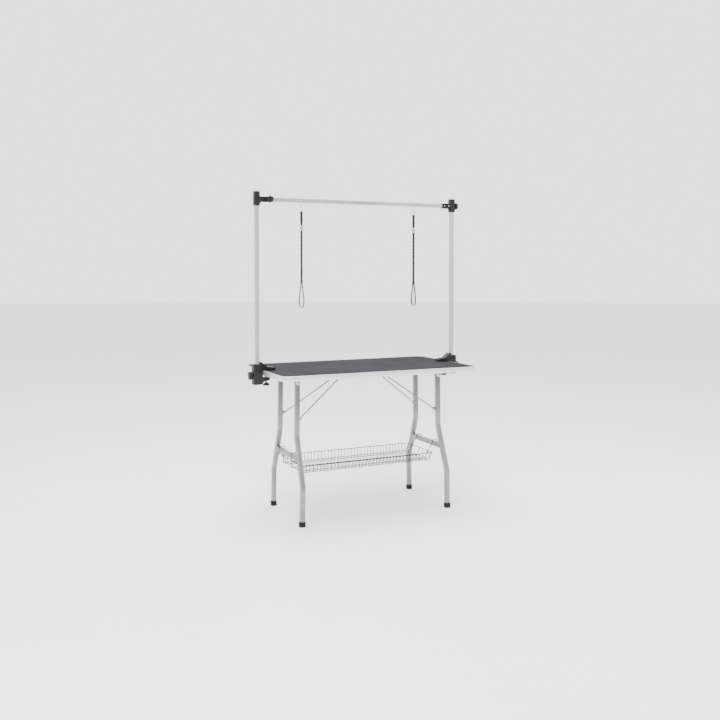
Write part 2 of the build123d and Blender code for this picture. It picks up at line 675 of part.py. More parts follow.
# ================================================================ nooses
with BuildPart() as noose_staples:
    for side in SIDES.values():
        x = side * NOOSE_X
        top = BAR_Z - POST_TUBE / 2 + 4
        with BuildLine(front_plane(ARM_Y)) as wire:
            Line((x - STAPLE_R, top), (x - STAPLE_R, STAPLE_Z))
            RadiusArc((x - STAPLE_R, STAPLE_Z), (x + STAPLE_R, STAPLE_Z), -STAPLE_R)
            Line((x + STAPLE_R, STAPLE_Z), (x + STAPLE_R, top))
        with BuildSketch(Plane(origin=wire.wire() @ 0, z_dir=wire.wire() % 0)) as section:
            Circle(STAPLE_WIRE_R)
        sweep(sections=section.sketch, path=wire.wire())
save(noose_staples.part, "noose_staples")

LOOP_TOP = STAPLE_Z - (STAPLE_R - STAPLE_WIRE_R - 0.3 - HOOK_LOOP_WIRE_R)
LOOP_Z = LOOP_TOP - HOOK_LOOP_R
BARREL_TOP = LOOP_Z - HOOK_LOOP_R
BARREL_BOTTOM = BARREL_TOP - 4.5
RING_Z = BARREL_BOTTOM - 0.3 - RING_WIRE_R - RING_R
STRAP_TOP = RING_Z - RING_R - RING_WIRE_R
# One strand of a noose, as offsets from its middle and heights, from the ring down to the
# lowest point; the other strand is its mirror image, back up to the ring.
STRAND = [
    (2.4, 1290.0),
    (2.5, 1178.0),
    (7.0, 1141.0),
    (11.4, 1107.0),
    (12.3, 1082.0),
    (11.2, 1063.0),
    (6.4, 1051.5),
]


def loose_radii(points):
    """The largest bend at each corner: 0.45 of its shorter run over the tangent of half its turn."""
    radii = []
    for a, b, c in zip(points, points[1:], points[2:]):
        before = Vector(b[0] - a[0], b[1] - a[1])
        after = Vector(c[0] - b[0], c[1] - b[1])
        turn = radians(before.get_angle(after))
        radii.append(0.45 * min(before.length, after.length) / tan(turn / 2))
    return radii


for side_name, side in SIDES.items():
    x = side * NOOSE_X
    with BuildPart() as snap_hook:
        with Locations((x, ARM_Y, LOOP_Z)):
            Torus(HOOK_LOOP_R, HOOK_LOOP_WIRE_R, rotation=(0, 90, 0))
        with Locations((x, ARM_Y, (BARREL_TOP + BARREL_BOTTOM) / 2)):
            Cylinder(3.2, BARREL_TOP - BARREL_BOTTOM)
            Cylinder(1.28, BARREL_TOP - BARREL_BOTTOM + 1, mode=Mode.SUBTRACT)
    save(snap_hook.part, f"{side_name}_snap_hook")

    with BuildPart() as swivel_ring:
        with Locations((x, ARM_Y, RING_Z)):
            Torus(RING_R, RING_WIRE_R, rotation=(90, 0, 0))
        stem = 4.6
        with Locations((x, ARM_Y, RING_Z + RING_R + stem / 2)):
            Cylinder(1.2, stem)
    save(swivel_ring.part, f"{side_name}_swivel_ring")

    down = [(STRAND_OFFSET, STRAP_TOP), *STRAND]
    offsets = down + [(-dx, z) for dx, z in reversed(down)]
    radii = loose_radii(offsets)
    with BuildPart() as noose_strap:
        with BuildLine(front_plane(ARM_Y)) as line:
            FilletPolyline(*[(x + dx, z) for dx, z in offsets], radius=radii)
        top = Plane(origin=line.line @ 0, x_dir=(0, 1, 0), z_dir=line.line % 0)
        with BuildSketch(top) as section:
            Rectangle(STRAP_WIDTH, STRAP_THICKNESS)
        sweep(sections=section.sketch, path=line.line)
    strap_length = sum(edge.length for edge in line.edges())
    share = noose_strap.part.volume / (STRAP_WIDTH * STRAP_THICKNESS * strap_length)
    print(f"{side_name} strap: {strap_length:.1f} mm, volume share {share:.4f},")
    print("  bends:", ", ".join(f"{radius:.0f}" for radius in radii))
    save(noose_strap.part, f"{side_name}_noose_strap")

    with BuildPart() as slider:
        with BuildSketch(Plane.XY.offset(SLIDER_TOP)):
            with Locations((x, ARM_Y)):
                RectangleRounded(SLIDER_DEPTH, SLIDER_WIDTH, 1.5)
                Rectangle(*SLIDER_SLOT, mode=Mode.SUBTRACT)
        extrude(amount=-SLIDER_HEIGHT)
    save(slider.part, f"{side_name}_noose_slider")

pivot = Vector(HINGE_X - BRACE_PIVOT_IN, 0, BRACE_PIVOT_Z)
rise = degrees(atan2(APEX_Z - pivot.Z, pivot.X - APEX_X))
print("brace length in its fold plane:", round(hypot(APEX_Z - pivot.Z, pivot.X - APEX_X), 1))
print("brace slope, degrees:", round(rise, 3))
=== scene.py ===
"""The looks of a folding pet grooming table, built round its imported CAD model.

Metres, in the row frame: Z is up, X runs along the table and -Y is its front. Each sub-assembly
is a class that models its pieces, dresses them and says which body they ride on.
"""

import logging
import math
from dataclasses import dataclass
from enum import Enum
from typing import Callable, Iterable, Sequence

import bmesh
import bpy
from mathutils import Matrix, Vector


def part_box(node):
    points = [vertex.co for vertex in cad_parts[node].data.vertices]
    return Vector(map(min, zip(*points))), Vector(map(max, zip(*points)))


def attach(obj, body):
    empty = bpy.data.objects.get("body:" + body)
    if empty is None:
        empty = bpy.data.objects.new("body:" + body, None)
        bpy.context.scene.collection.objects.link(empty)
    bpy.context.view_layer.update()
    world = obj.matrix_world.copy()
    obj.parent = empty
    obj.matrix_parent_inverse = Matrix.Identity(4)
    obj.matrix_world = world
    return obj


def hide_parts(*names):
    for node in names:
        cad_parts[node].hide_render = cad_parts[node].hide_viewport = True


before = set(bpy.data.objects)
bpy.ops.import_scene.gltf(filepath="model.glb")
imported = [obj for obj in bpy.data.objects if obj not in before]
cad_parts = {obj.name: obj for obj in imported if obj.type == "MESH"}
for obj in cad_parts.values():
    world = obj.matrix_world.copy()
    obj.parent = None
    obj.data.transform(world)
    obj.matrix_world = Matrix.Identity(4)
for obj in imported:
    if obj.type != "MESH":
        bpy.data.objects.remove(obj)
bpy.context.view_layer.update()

log = logging.getLogger("grooming_table")

Object = bpy.types.Object
Material = bpy.types.Material
Point = tuple[float, float, float]

MM = 0.001
QUARTER_TURN = math.pi / 2


class Side(Enum):
    """The two ends of the table, with the sign of their X."""

    LEFT = -1
    RIGHT = 1

    @property
    def label(self) -> str:
        """The word that starts this side's node names."""
        return self.name.lower()


class Run(Enum):
    """The direction that a drawn or extruded surface's lines run in."""

    ALONG_X = (0.04, 1.0, 1.0)
    ALONG_Y = (1.0, 0.04, 1.0)
    ALONG_Z = (1.0, 1.0, 0.04)


# ----------------------------------------------------------------------------- node building


class NodeSheet:
    """A material's node tree, built one node at a time."""

    def __init__(self, name: str) -> None:
        """Starts a material with a shader and its output.

        Args:
            name: The material's name.
        """
        self.material = bpy.data.materials.new(name)
        self.material.use_nodes = True
        self.tree = self.material.node_tree
        self.shader = self.tree.nodes["Principled BSDF"]
        self.place = self.add("ShaderNodeTexCoord").outputs["Object"]

    def add(self, kind: str, **settings: object) -> bpy.types.Node:
        """Adds a node and sets its properties.

        Args:
            kind: The node's type name.
            settings: Properties of the node to set.

        Returns:
            The new node.
        """
        node = self.tree.nodes.new(kind)
        for key, value in settings.items():
            setattr(node, key, value)
        return node

    def link(self, source: bpy.types.NodeSocket, target: bpy.types.NodeSocket) -> None:
        """Joins an output socket to an input socket."""
        self.tree.links.new(source, target)

    def stretched(self, scale: Sequence[float]) -> bpy.types.NodeSocket:
        """The object's coordinates, scaled differently along each axis.

        Args:
            scale: The three scales.

        Returns:
            The mapped coordinates.
        """
        mapping = self.add("ShaderNodeMapping")
        mapping.inputs["Scale"].default_value = scale
        self.link(self.place, mapping.inputs["Vector"])
        return mapping.outputs["Vector"]

    def noise(
        self,
        scale: float,
        detail: float = 3.0,
        roughness: float = 0.55,
        vector: bpy.types.NodeSocket | None = None,
    ) -> bpy.types.NodeSocket:
        """A noise value on the object's coordinates.

        Args:
            scale: Waves per metre.
            detail: Octaves of finer noise.
            roughness: How strong the finer octaves are.
            vector: Coordinates to use in place of the object's own.

        Returns:
            The noise's value.
        """
        node = self.add("ShaderNodeTexNoise")
        node.inputs["Scale"].default_value = scale
        node.inputs["Detail"].default_value = detail
        node.inputs["Roughness"].default_value = roughness
        self.link(vector or self.place, node.inputs["Vector"])
        return node.outputs["Fac"]

    def ramp(
        self, value: bpy.types.NodeSocket, stops: Sequence[tuple[float, Sequence[float]]]
    ) -> bpy.types.NodeSocket:
        """Maps a value to colours.

        Args:
            value: The value to map.
            stops: Positions and their colours.

        Returns:
            The colour.
        """
        node = self.add("ShaderNodeValToRGB")
        elements = node.color_ramp.elements
        for index, (position, colour) in enumerate(stops):
            element = elements[index] if index < 2 else elements.new(position)
            element.position = position
            element.color = (*colour, 1.0)
        self.link(value, node.inputs["Fac"])
        return node.outputs["Color"]

    def spread(
        self, value: bpy.types.NodeSocket, low: float, high: float
    ) -> bpy.types.NodeSocket:
        """Maps the middle of a noise to a range of numbers.

        Args:
            value: The noise.
            low: The result for a low noise.
            high: The result for a high noise.

        Returns:
            The mapped value.
        """
        node = self.add("ShaderNodeMapRange")
        node.inputs["From Min"].default_value = 0.3
        node.inputs["From Max"].default_value = 0.7
        node.inputs["To Min"].default_value = low
        node.inputs["To Max"].default_value = high
        self.link(value, node.inputs["Value"])
        return node.outputs["Result"]

    def relief(self, *layers: tuple[bpy.types.NodeSocket, float, float]) -> None:
        """Adds bump layers to the shader.

        Args:
            layers: Each layer's height, its depth in metres and its strength.
        """
        normal = None
        for height, depth, strength in layers:
            bump = self.add("ShaderNodeBump")
            bump.inputs["Strength"].default_value = strength
            bump.inputs["Distance"].default_value = depth
            self.link(height, bump.inputs["Height"])
            if normal is not None:
                self.link(normal, bump.inputs["Normal"])
            normal = bump.outputs["Normal"]
        self.link(normal, self.shader.inputs["Normal"])


# ----------------------------------------------------------------------------- finishes


@dataclass(frozen=True)
class Enamel:
    """Sprayed powder coat: a fine orange-peel skin with slight clouding and rubbed patches."""

    name: str
    slot: str
    light: tuple[float, float, float]
    dark: tuple[float, float, float]
    metallic: float
    gloss: tuple[float, float] = (0.30, 0.42)
    peel_per_metre: float = 900.0
    specular: float = 0.5

    def make(self) -> Material:
        """Builds the material."""
        sheet = NodeSheet(self.name)
        clouds = sheet.noise(14.0, 4.0)
        colour = sheet.ramp(clouds, [(0.35, self.dark), (0.62, self.light)])
        sheet.link(colour, sheet.shader.inputs["Base Color"])
        scuffs = sheet.noise(55.0, 6.0, 0.7)
        sheet.link(sheet.spread(scuffs, *self.gloss), sheet.shader.inputs["Roughness"])
        sheet.shader.inputs["Metallic"].default_value = self.metallic
        sheet.shader.inputs["Specular IOR Level"].default_value = self.specular
        sheet.relief(
            (sheet.noise(self.peel_per_metre, 2.0), 0.00012, 0.35),
            (sheet.noise(30.0, 2.0), 0.0004, 0.08),
        )
        return sheet.material


@dataclass(frozen=True)
class DrawnMetal:
    """Drawn or rolled metal, with fine lines along its run and a few dull patches."""

    name: str
    slot: str
    light: tuple[float, float, float]
    dark: tuple[float, float, float]
    run: Run
    gloss: tuple[float, float] = (0.24, 0.38)
    metallic: float = 1.0
    lines_per_metre: float = 1400.0

    def make(self) -> Material:
        """Builds the material."""
        sheet = NodeSheet(self.name)
        lines = sheet.noise(self.lines_per_metre, 2.0, 0.6, sheet.stretched(self.run.value))
        patches = sheet.noise(9.0, 5.0, 0.6)
        blend = sheet.add("ShaderNodeMath", operation="MULTIPLY_ADD")
        sheet.link(lines, blend.inputs[0])
        blend.inputs[1].default_value = 0.35
        sheet.link(sheet.spread(patches, 0.15, 0.5), blend.inputs[2])
        colour = sheet.ramp(blend.outputs[0], [(0.2, self.dark), (0.75, self.light)])
        sheet.link(colour, sheet.shader.inputs["Base Color"])
        sheet.link(
            sheet.spread(blend.outputs[0], *self.gloss), sheet.shader.inputs["Roughness"]
        )
        sheet.shader.inputs["Metallic"].default_value = self.metallic
        sheet.relief((lines, 0.00004, 0.25))
        return sheet.material


@dataclass(frozen=True)
class Plated:
    """Zinc or nickel plating: bright metal with a faint spangle and fingermarks."""

    name: str
    slot: str
    light: tuple[float, float, float]
    dark: tuple[float, float, float]
    gloss: tuple[float, float] = (0.18, 0.34)

    def make(self) -> Material:
        """Builds the material."""
        sheet = NodeSheet(self.name)
        spangle = sheet.add("ShaderNodeTexVoronoi", feature="F1")
        spangle.inputs["Scale"].default_value = 180.0
        sheet.link(sheet.place, spangle.inputs["Vector"])
        mottling = sheet.noise(70.0, 5.0, 0.65)
        colour = sheet.ramp(mottling, [(0.3, self.dark), (0.65, self.light)])
        sheet.link(colour, sheet.shader.inputs["Base Color"])
        sheet.link(
            sheet.spread(spangle.outputs["Distance"], *self.gloss),
            sheet.shader.inputs["Roughness"],
        )
        sheet.shader.inputs["Metallic"].default_value = 1.0
        sheet.relief((mottling, 0.00005, 0.15))
        return sheet.material


@dataclass(frozen=True)
class MouldedPlastic:
    """Black injection-moulded nylon with a spark-eroded grain."""

    name: str
    slot: str
    light: tuple[float, float, float]
    dark: tuple[float, float, float]
    gloss: tuple[float, float] = (0.36, 0.52)
    grain_per_metre: float = 1500.0

    def make(self) -> Material:
        """Builds the material."""
        sheet = NodeSheet(self.name)
        flow = sheet.noise(22.0, 3.0)
        colour = sheet.ramp(flow, [(0.35, self.dark), (0.7, self.light)])
        sheet.link(colour, sheet.shader.inputs["Base Color"])
        grain = sheet.noise(self.grain_per_metre, 2.0, 0.7)
        sheet.link(sheet.spread(grain, *self.gloss), sheet.shader.inputs["Roughness"])
        sheet.shader.inputs["Specular IOR Level"].default_value = 0.2
        sheet.relief((grain, 0.00010, 0.45), (flow, 0.0006, 0.05))
        return sheet.material


@dataclass(frozen=True)
class PebbledRubber:
    """Non-slip rubber sheet: small raised pebbles, pale dust and a few scratches."""

    name: str
    slot: str
    light: tuple[float, float, float]
    dark: tuple[float, float, float]
    pebbles_per_metre: float = 420.0
    depth: float = 0.00045

    def make(self) -> Material:
        """Builds the material."""
        sheet = NodeSheet(self.name)
        pebble = sheet.add("ShaderNodeTexVoronoi", feature="SMOOTH_F1")
        pebble.inputs["Scale"].default_value = self.pebbles_per_metre
        pebble.inputs["Smoothness"].default_value = 0.6
        sheet.link(sheet.place, pebble.inputs["Vector"])
        sheet.shader.inputs["Specular IOR Level"].default_value = 0.05
        dust = sheet.noise(6.0, 6.0, 0.62)
        speck = sheet.noise(700.0, 2.0, 0.8)
        mix = sheet.add("ShaderNodeMath", operation="MULTIPLY_ADD")
        sheet.link(speck, mix.inputs[0])
        mix.inputs[1].default_value = 0.6
        sheet.link(sheet.spread(dust, 0.1, 0.22), mix.inputs[2])
        colour = sheet.ramp(mix.outputs[0], [(0.22, self.dark), (0.8, self.light)])
        sheet.link(colour, sheet.shader.inputs["Base Color"])
        sheet.link(sheet.spread(dust, 0.92, 0.80), sheet.shader.inputs["Roughness"])
        scratch = sheet.noise(60.0, 3.0, 0.6, sheet.stretched((0.08, 1.0, 1.0)))
        sheet.relief(
            (pebble.outputs["Distance"], self.depth, 0.55),
            (scratch, 0.0002, 0.10),
        )
        return sheet.material


@dataclass(frozen=True)
class Fibreboard:
    """Raw fibreboard: short pale fibres and darker flecks."""

    name: str
    slot: str
    light: tuple[float, float, float]
    dark: tuple[float, float, float]

    def make(self) -> Material:
        """Builds the material."""
        sheet = NodeSheet(self.name)
        fibres = sheet.noise(240.0, 6.0, 0.75, sheet.stretched((0.25, 1.0, 1.0)))
        fleck = sheet.noise(60.0, 5.0, 0.7)
        blend = sheet.add("ShaderNodeMath", operation="MULTIPLY_ADD")
        sheet.link(fibres, blend.inputs[0])
        blend.inputs[1].default_value = 0.6
        sheet.link(sheet.spread(fleck, 0.0, 0.4), blend.inputs[2])
        colour = sheet.ramp(blend.outputs[0], [(0.25, self.dark), (0.75, self.light)])
        sheet.link(colour, sheet.shader.inputs["Base Color"])
        sheet.link(sheet.spread(fibres, 0.7, 0.9), sheet.shader.inputs["Roughness"])
        sheet.relief((fibres, 0.00015, 0.4))
        return sheet.material


@dataclass(frozen=True)
class Webbing:
    """Woven nylon tape: the weave follows the tape through its UV map. Its colour follows the weave's height,
    darker in the hollows as painted shade and lighter on the crests as a painted highlight, with a random fuzz
    tone over it.
    """

    name: str
    slot: str
    light: tuple[float, float, float]
    dark: tuple[float, float, float]
    picks_per_metre: float = 900.0
    ends_across: float = 9.0

    def make(self) -> Material:
        """Builds the material."""
        sheet = NodeSheet(self.name)
        uv = sheet.add("ShaderNodeUVMap", uv_map="UVMap").outputs["UV"]
        parts = sheet.add("ShaderNodeSeparateXYZ")
        sheet.link(uv, parts.inputs["Vector"])
        waves = []
        for output, count in (("X", self.picks_per_metre), ("Y", self.ends_across)):
            turns = sheet.add("ShaderNodeMath", operation="MULTIPLY")
            sheet.link(parts.outputs[output], turns.inputs[0])
            turns.inputs[1].default_value = count * math.tau
            wave = sheet.add("ShaderNodeMath", operation="SINE")
            sheet.link(turns.outputs[0], wave.inputs[0])
            waves.append(wave.outputs[0])
        weave = sheet.add("ShaderNodeMath", operation="MULTIPLY")
        sheet.link(waves[0], weave.inputs[0])
        sheet.link(waves[1], weave.inputs[1])
        height = sheet.add("ShaderNodeMapRange")
        height.inputs["From Min"].default_value = -1.0
        sheet.link(weave.outputs[0], height.inputs["Value"])
        fuzz = sheet.noise(1800.0, 3.0, 0.8)
        blend = sheet.add("ShaderNodeMath", operation="MULTIPLY_ADD")
        sheet.link(fuzz, blend.inputs[0])
        blend.inputs[1].default_value = 0.4
        sheet.link(height.outputs["Result"], blend.inputs[2])
        # colour from the weave's height plus a random fuzz tone: the darker hollows are painted shade and the
        # lighter crests are a painted highlight
        colour = sheet.ramp(blend.outputs[0], [(0.15, self.dark), (1.0, self.light)])
        sheet.link(colour, sheet.shader.inputs["Base Color"])
        sheet.shader.inputs["Roughness"].default_value = 0.85
        sheet.shader.inputs["Specular IOR Level"].default_value = 0.2
        sheet.shader.inputs["Sheen Weight"].default_value = 0.08
        sheet.shader.inputs["Sheen Roughness"].default_value = 0.4
        sheet.relief((blend.outputs[0], 0.00025, 0.6))
        return sheet.material


Finish = Enamel | DrawnMetal | Plated | MouldedPlastic | PebbledRubber | Fibreboard | Webbing


class Finishes:
    """Every finish of the table, made once and shared."""

    LEG = Enamel("leg_silver_coat", "leg_enamel", (0.27, 0.275, 0.29), (0.21, 0.215, 0.23), 0.65)
    WELD = Enamel(
        "weld_silver_coat", "leg_enamel", (0.24, 0.245, 0.26), (0.17, 0.175, 0.19), 0.6, (0.4, 0.6)
    )
    TRIM = DrawnMetal(
        "trim_rolled_aluminium", "trim_aluminium", (0.80, 0.805, 0.815), (0.68, 0.685, 0.70),
        Run.ALONG_X, (0.30, 0.42), 0.85,
    )
    POST = DrawnMetal(
        "post_extruded_aluminium", "arm_aluminium", (0.52, 0.515, 0.515), (0.42, 0.415, 0.415),
        Run.ALONG_Z, (0.30, 0.42), 0.75,
    )
    BAR = DrawnMetal(
        "bar_extruded_aluminium", "arm_aluminium", (0.52, 0.515, 0.515), (0.42, 0.415, 0.415),
        Run.ALONG_X, (0.30, 0.42), 0.75,
    )
    ROD = Plated(
        "brace_plate", "zinc_steel", (0.30, 0.305, 0.32), (0.19, 0.195, 0.21), (0.26, 0.38)
    )
    ZINC = Plated("zinc_plate", "zinc_steel", (0.50, 0.505, 0.52), (0.36, 0.365, 0.38))
    FASTENER = Plated("fastener_plate", "fastener_steel", (0.56, 0.57, 0.60), (0.36, 0.37, 0.40))
    CHROME = Plated(
        "nickel_plate", "chrome", (0.66, 0.66, 0.67), (0.46, 0.46, 0.47), (0.08, 0.20)
    )
    CLAMP = MouldedPlastic(
        "black_moulding", "black_plastic", (0.014, 0.014, 0.016), (0.007, 0.007, 0.008)
    )
    KNOB = MouldedPlastic(
        "black_knob_moulding", "knob_plastic", (0.014, 0.014, 0.016), (0.007, 0.007, 0.008),
        (0.28, 0.42),
    )
    MAT = PebbledRubber(
        "mat_pebbled_rubber", "mat_rubber", (0.036, 0.035, 0.040), (0.016, 0.016, 0.019)
    )
    FOOT = PebbledRubber(
        "foot_rubber_skin", "foot_rubber", (0.030, 0.030, 0.032), (0.012, 0.012, 0.013),
        900.0, 0.0001,
    )
    BOARD = Fibreboard("raw_fibreboard", "board", (0.36, 0.25, 0.15), (0.20, 0.13, 0.075))
    WIRE = Enamel(
        "basket_dark_coat", "basket_wire", (0.016, 0.016, 0.018), (0.008, 0.008, 0.009),
        0.0, (0.32, 0.46), 1500.0, 0.25,
    )
    TAPE = Webbing("noose_webbing", "webbing", (0.020, 0.020, 0.022), (0.004, 0.004, 0.005))

    _made: dict[str, Material] = {}

    @classmethod
    def of(cls, finish: Finish) -> Material:
        """The material of a finish, made at its first use."""
        if finish.name not in cls._made:
            cls._made[finish.name] = finish.make()
        return cls._made[finish.name]


# ----------------------------------------------------------------------------- modelling bench


class Bench:
    """The bench that every new piece is started, shaped and finished on."""

    SMOOTH_ANGLE = math.radians(35)

    @staticmethod
    def clear() -> None:
        """Leaves edit mode and deselects everything."""
        if bpy.context.object and bpy.context.object.mode != "OBJECT":
            bpy.ops.object.mode_set(mode="OBJECT")
        bpy.ops.object.select_all(action="DESELECT")

    @staticmethod
    def take(piece: Object) -> Object:
        """Makes one piece the only selected and the active one."""
        Bench.clear()
        piece.select_set(True)
        bpy.context.view_layer.objects.active = piece
        return piece

    @staticmethod
    def edit(piece: Object) -> None:
        """Opens a piece in edit mode, in vertex mode, with nothing selected."""
        Bench.take(piece)
        bpy.ops.object.mode_set(mode="EDIT")
        bpy.ops.mesh.select_mode(type="VERT")
        bpy.ops.mesh.select_all(action="DESELECT")

    @staticmethod
    def choose(piece: Object, kind: str, test: Callable[[object], bool]) -> None:
        """Selects the elements of an open piece that pass a test.

        Args:
            piece: The piece in edit mode.
            kind: VERT, EDGE or FACE.
            test: Says whether an element is wanted.
        """
        bpy.ops.mesh.select_mode(type=kind)
        bpy.ops.mesh.select_all(action="DESELECT")
        mesh = bmesh.from_edit_mesh(piece.data)
        elements = {"VERT": mesh.verts, "EDGE": mesh.edges, "FACE": mesh.faces}[kind]
        for element in elements:
            if test(element):
                element.select_set(True)
        mesh.select_flush_mode()
        bmesh.update_edit_mesh(piece.data)

    @staticmethod
    def named(name: str) -> Object:
        """Names the piece that was just added and returns it."""
        piece = bpy.context.object
        piece.name = name
        piece.data.name = name
        return piece

    @staticmethod
    def block(name: str, low: Sequence[float], high: Sequence[float]) -> Object:
        """Adds a block between two corners, to be shaped further.

        Args:
            name: The piece's name.
            low: Its lowest corner.
            high: Its highest corner.

        Returns:
            The block, with its place in its mesh.
        """
        Bench.clear()
        size = [b - a for a, b in zip(low, high)]
        middle = [(a + b) / 2 for a, b in zip(low, high)]
        bpy.ops.mesh.primitive_cube_add(size=1, location=middle, scale=size)
        bpy.ops.object.transform_apply(location=True, rotation=True, scale=True)
        return Bench.named(name)

    @staticmethod
    def modify(piece: Object, kind: str, **settings: object) -> None:
        """Adds a modifier to a piece, sets it and applies it."""
        Bench.take(piece)
        modifier = piece.modifiers.new(kind.lower(), kind)
        for key, value in settings.items():
            setattr(modifier, key, value)
        bpy.ops.object.modifier_apply(modifier=modifier.name)

    @staticmethod
    def ease(piece: Object, width: float, segments: int = 2, angle: float = 30.0) -> None:
        """Rounds a piece's sharp edges.

        Args:
            piece: The piece.
            width: The rounding's width.
            segments: Facets in the rounding.
            angle: Edges that turn by more than this many degrees are rounded.
        """
        Bench.modify(
            piece, "BEVEL", width=width, segments=segments, limit_method="ANGLE",
            angle_limit=math.radians(angle),
        )

    @staticmethod
    def reshape(piece: Object, rule: Callable[[Vector], Vector]) -> None:
        """Moves every point of a piece by a rule."""
        for vertex in piece.data.vertices:
            vertex.co = rule(vertex.co.copy())

    @staticmethod
    def copy_at(piece: Object, name: str, place: Matrix) -> Object:
        """A copy of a piece, with its own mesh, at another place."""
        twin = piece.copy()
        twin.data = piece.data.copy()
        twin.name = twin.data.name = name
        twin.data.transform(place)
        bpy.context.scene.collection.objects.link(twin)
        return twin

    @staticmethod
    def join(pieces: Sequence[Object], name: str) -> Object:
        """Joins pieces into one object."""
        Bench.take(pieces[0])
        for piece in pieces:
            piece.select_set(True)
        if len(pieces) > 1:
            bpy.ops.object.join()
        return Bench.named(name)

    @staticmethod
    def from_cad(node: str, name: str) -> Object:
        """A merged copy of a CAD node's mesh, to be eased or shaped.

        Args:
            node: The CAD node.
            name: The new piece's name.

        Returns:
            The copy, with flat faces in one piece again.
        """
        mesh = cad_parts[node].data.copy()
        mesh.materials.clear()
        piece = bpy.data.objects.new(name, mesh)
        bpy.context.scene.collection.objects.link(piece)
        Bench.edit(piece)
        bpy.ops.mesh.select_all(action="SELECT")
        bpy.ops.mesh.remove_doubles(threshold=0.004 * MM)
        bpy.ops.mesh.dissolve_limited(angle_limit=math.radians(1.5))
        Bench.clear()
        return piece

    @staticmethod
    def done(
        piece: Object, finish: Finish, body: str, replaced: Iterable[str] = (), mend: bool = True
    ) -> Object:
        """Finishes a piece: normals, shading, material and body.

        Args:
            piece: The piece.
            finish: Its finish.
            body: The CAD body that it rides on.
            replaced: The CAD nodes that it stands for.
            mend: Whether its normals are made to point outwards.

        Returns:
            The piece.
        """
        Bench.take(piece)
        bpy.ops.object.transform_apply(location=True, rotation=True, scale=True)
        if mend:
            bpy.ops.object.mode_set(mode="EDIT")
            bpy.ops.mesh.select_all(action="SELECT")
            bpy.ops.mesh.normals_make_consistent(inside=False)
            bpy.ops.object.mode_set(mode="OBJECT")
        bpy.ops.object.shade_smooth_by_angle(angle=Bench.SMOOTH_ANGLE)
        piece.data.materials.clear()
        piece.data.materials.append(Finishes.of(finish))
        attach(piece, body)
        if replaced:
            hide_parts(*replaced)
        log.info("%s: %d faces on %s", piece.name, len(piece.data.polygons), body)
        return piece


def dress(node: str, finish: Finish) -> None:
    """Gives a CAD node that stays in view its finish."""
    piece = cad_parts[node]
    piece.data.materials.clear()
    piece.data.materials.append(Finishes.of(finish))
    log.info("%s: dressed", node)


def bend_wire(
    name: str, route: Sequence[Point], radius: float, bend: float, sides: int = 10, steps: int = 5
) -> Object:
    """Bends a round wire: a ring is drawn along each run and spun round each corner.

    Args:
        name: The wire's name.
        route: Its corners.
        radius: The wire's radius.
        bend: The radius of its bends.
        sides: Facets round the wire.
        steps: Facets along a bend.

    Returns:
        The wire, closed at both ends.
    """
    corners = [Vector(point) for point in route]
    headings = [(b - a).normalized() for a, b in zip(corners, corners[1:])]
    trims = [0.0]
    for before, after in zip(headings, headings[1:]):
        trims.append(bend * math.tan(before.angle(after) / 2))
    trims.append(0.0)
    Bench.clear()
    turn = headings[0].to_track_quat("Z", "Y").to_euler()
    bpy.ops.mesh.primitive_circle_add(
        vertices=sides, radius=radius, location=corners[0], rotation=turn
    )
    bpy.ops.object.transform_apply(location=True, rotation=True, scale=True)
    piece = Bench.named(name)
    Bench.edit(piece)
    bpy.ops.mesh.select_all(action="SELECT")
    for index, heading in enumerate(headings):
        length = (corners[index + 1] - corners[index]).length - trims[index] - trims[index + 1]
        bpy.ops.mesh.extrude_region_move(TRANSFORM_OT_translate={"value": heading * length})
        if index + 1 < len(headings):
            after = headings[index + 1]
            axis = heading.cross(after).normalized()
            start = corners[index + 1] - heading * trims[index + 1]
            centre = start + axis.cross(heading) * bend
            bpy.ops.mesh.spin(
                steps=steps, angle=-heading.angle(after), center=centre, axis=axis
            )
    bpy.ops.mesh.select_all(action="SELECT")
    bpy.ops.mesh.remove_doubles(threshold=0.002 * MM)
    bpy.ops.mesh.fill_holes(sides=0)
    Bench.clear()
    return piece


def turned(
    name: str, profile: Sequence[tuple[float, float]], foot: Point, axis: Vector, facets: int = 32
) -> Object:
    """Turns a solid on a lathe from a profile of radius and height.

    Args:
        name: The piece's name.
        profile: Radius and height of each point, from the axis out and back to it.
        foot: Where height 0 lies.
        axis: The direction of its height.
        facets: Facets round it.

    Returns:
        The turned piece.
    """
    Bench.clear()
    bpy.ops.mesh.primitive_circle_add(vertices=facets, radius=profile[0][0] or 0.1 * MM)
    piece = Bench.named(name)
    Bench.edit(piece)
    bpy.ops.mesh.select_all(action="SELECT")
    radius, height = profile[0][0] or 0.1 * MM, profile[0][1]
    bpy.ops.transform.translate(value=(0, 0, height))
    for next_radius, next_height in profile[1:]:
        next_radius = next_radius or 0.1 * MM
        bpy.ops.mesh.extrude_region_move(
            TRANSFORM_OT_translate={"value": (0, 0, next_height - height)}
        )
        share = next_radius / radius
        bpy.ops.transform.resize(
            value=(share, share, 1), center_override=(0, 0, next_height)
        )
        radius, height = next_radius, next_height
    bpy.ops.mesh.select_all(action="SELECT")
    bpy.ops.mesh.fill_holes(sides=0)
    Bench.clear()
    spin = axis.normalized().to_track_quat("Z", "Y").to_matrix().to_4x4()
    piece.data.transform(Matrix.Translation(foot) @ spin)
    return piece


def dome_head(name: str, foot: Point, axis: Vector, radius: float, height: float) -> Object:
    """A domed screw or rivet head that stands on a face.

    Args:
        name: The head's name.
        foot: The middle of its underside.
        axis: The way it points.
        radius: Its radius.
        height: Its height.

    Returns:
        The head.
    """
    steps = 5
    arc = [
        (radius * math.cos(i * QUARTER_TURN / steps), height * (0.25 + 0.75 * math.sin(i * QUARTER_TURN / steps)))
        for i in range(steps + 1)
    ]
    return turned(name, [(radius, 0.0), *arc], foot, axis, 20)


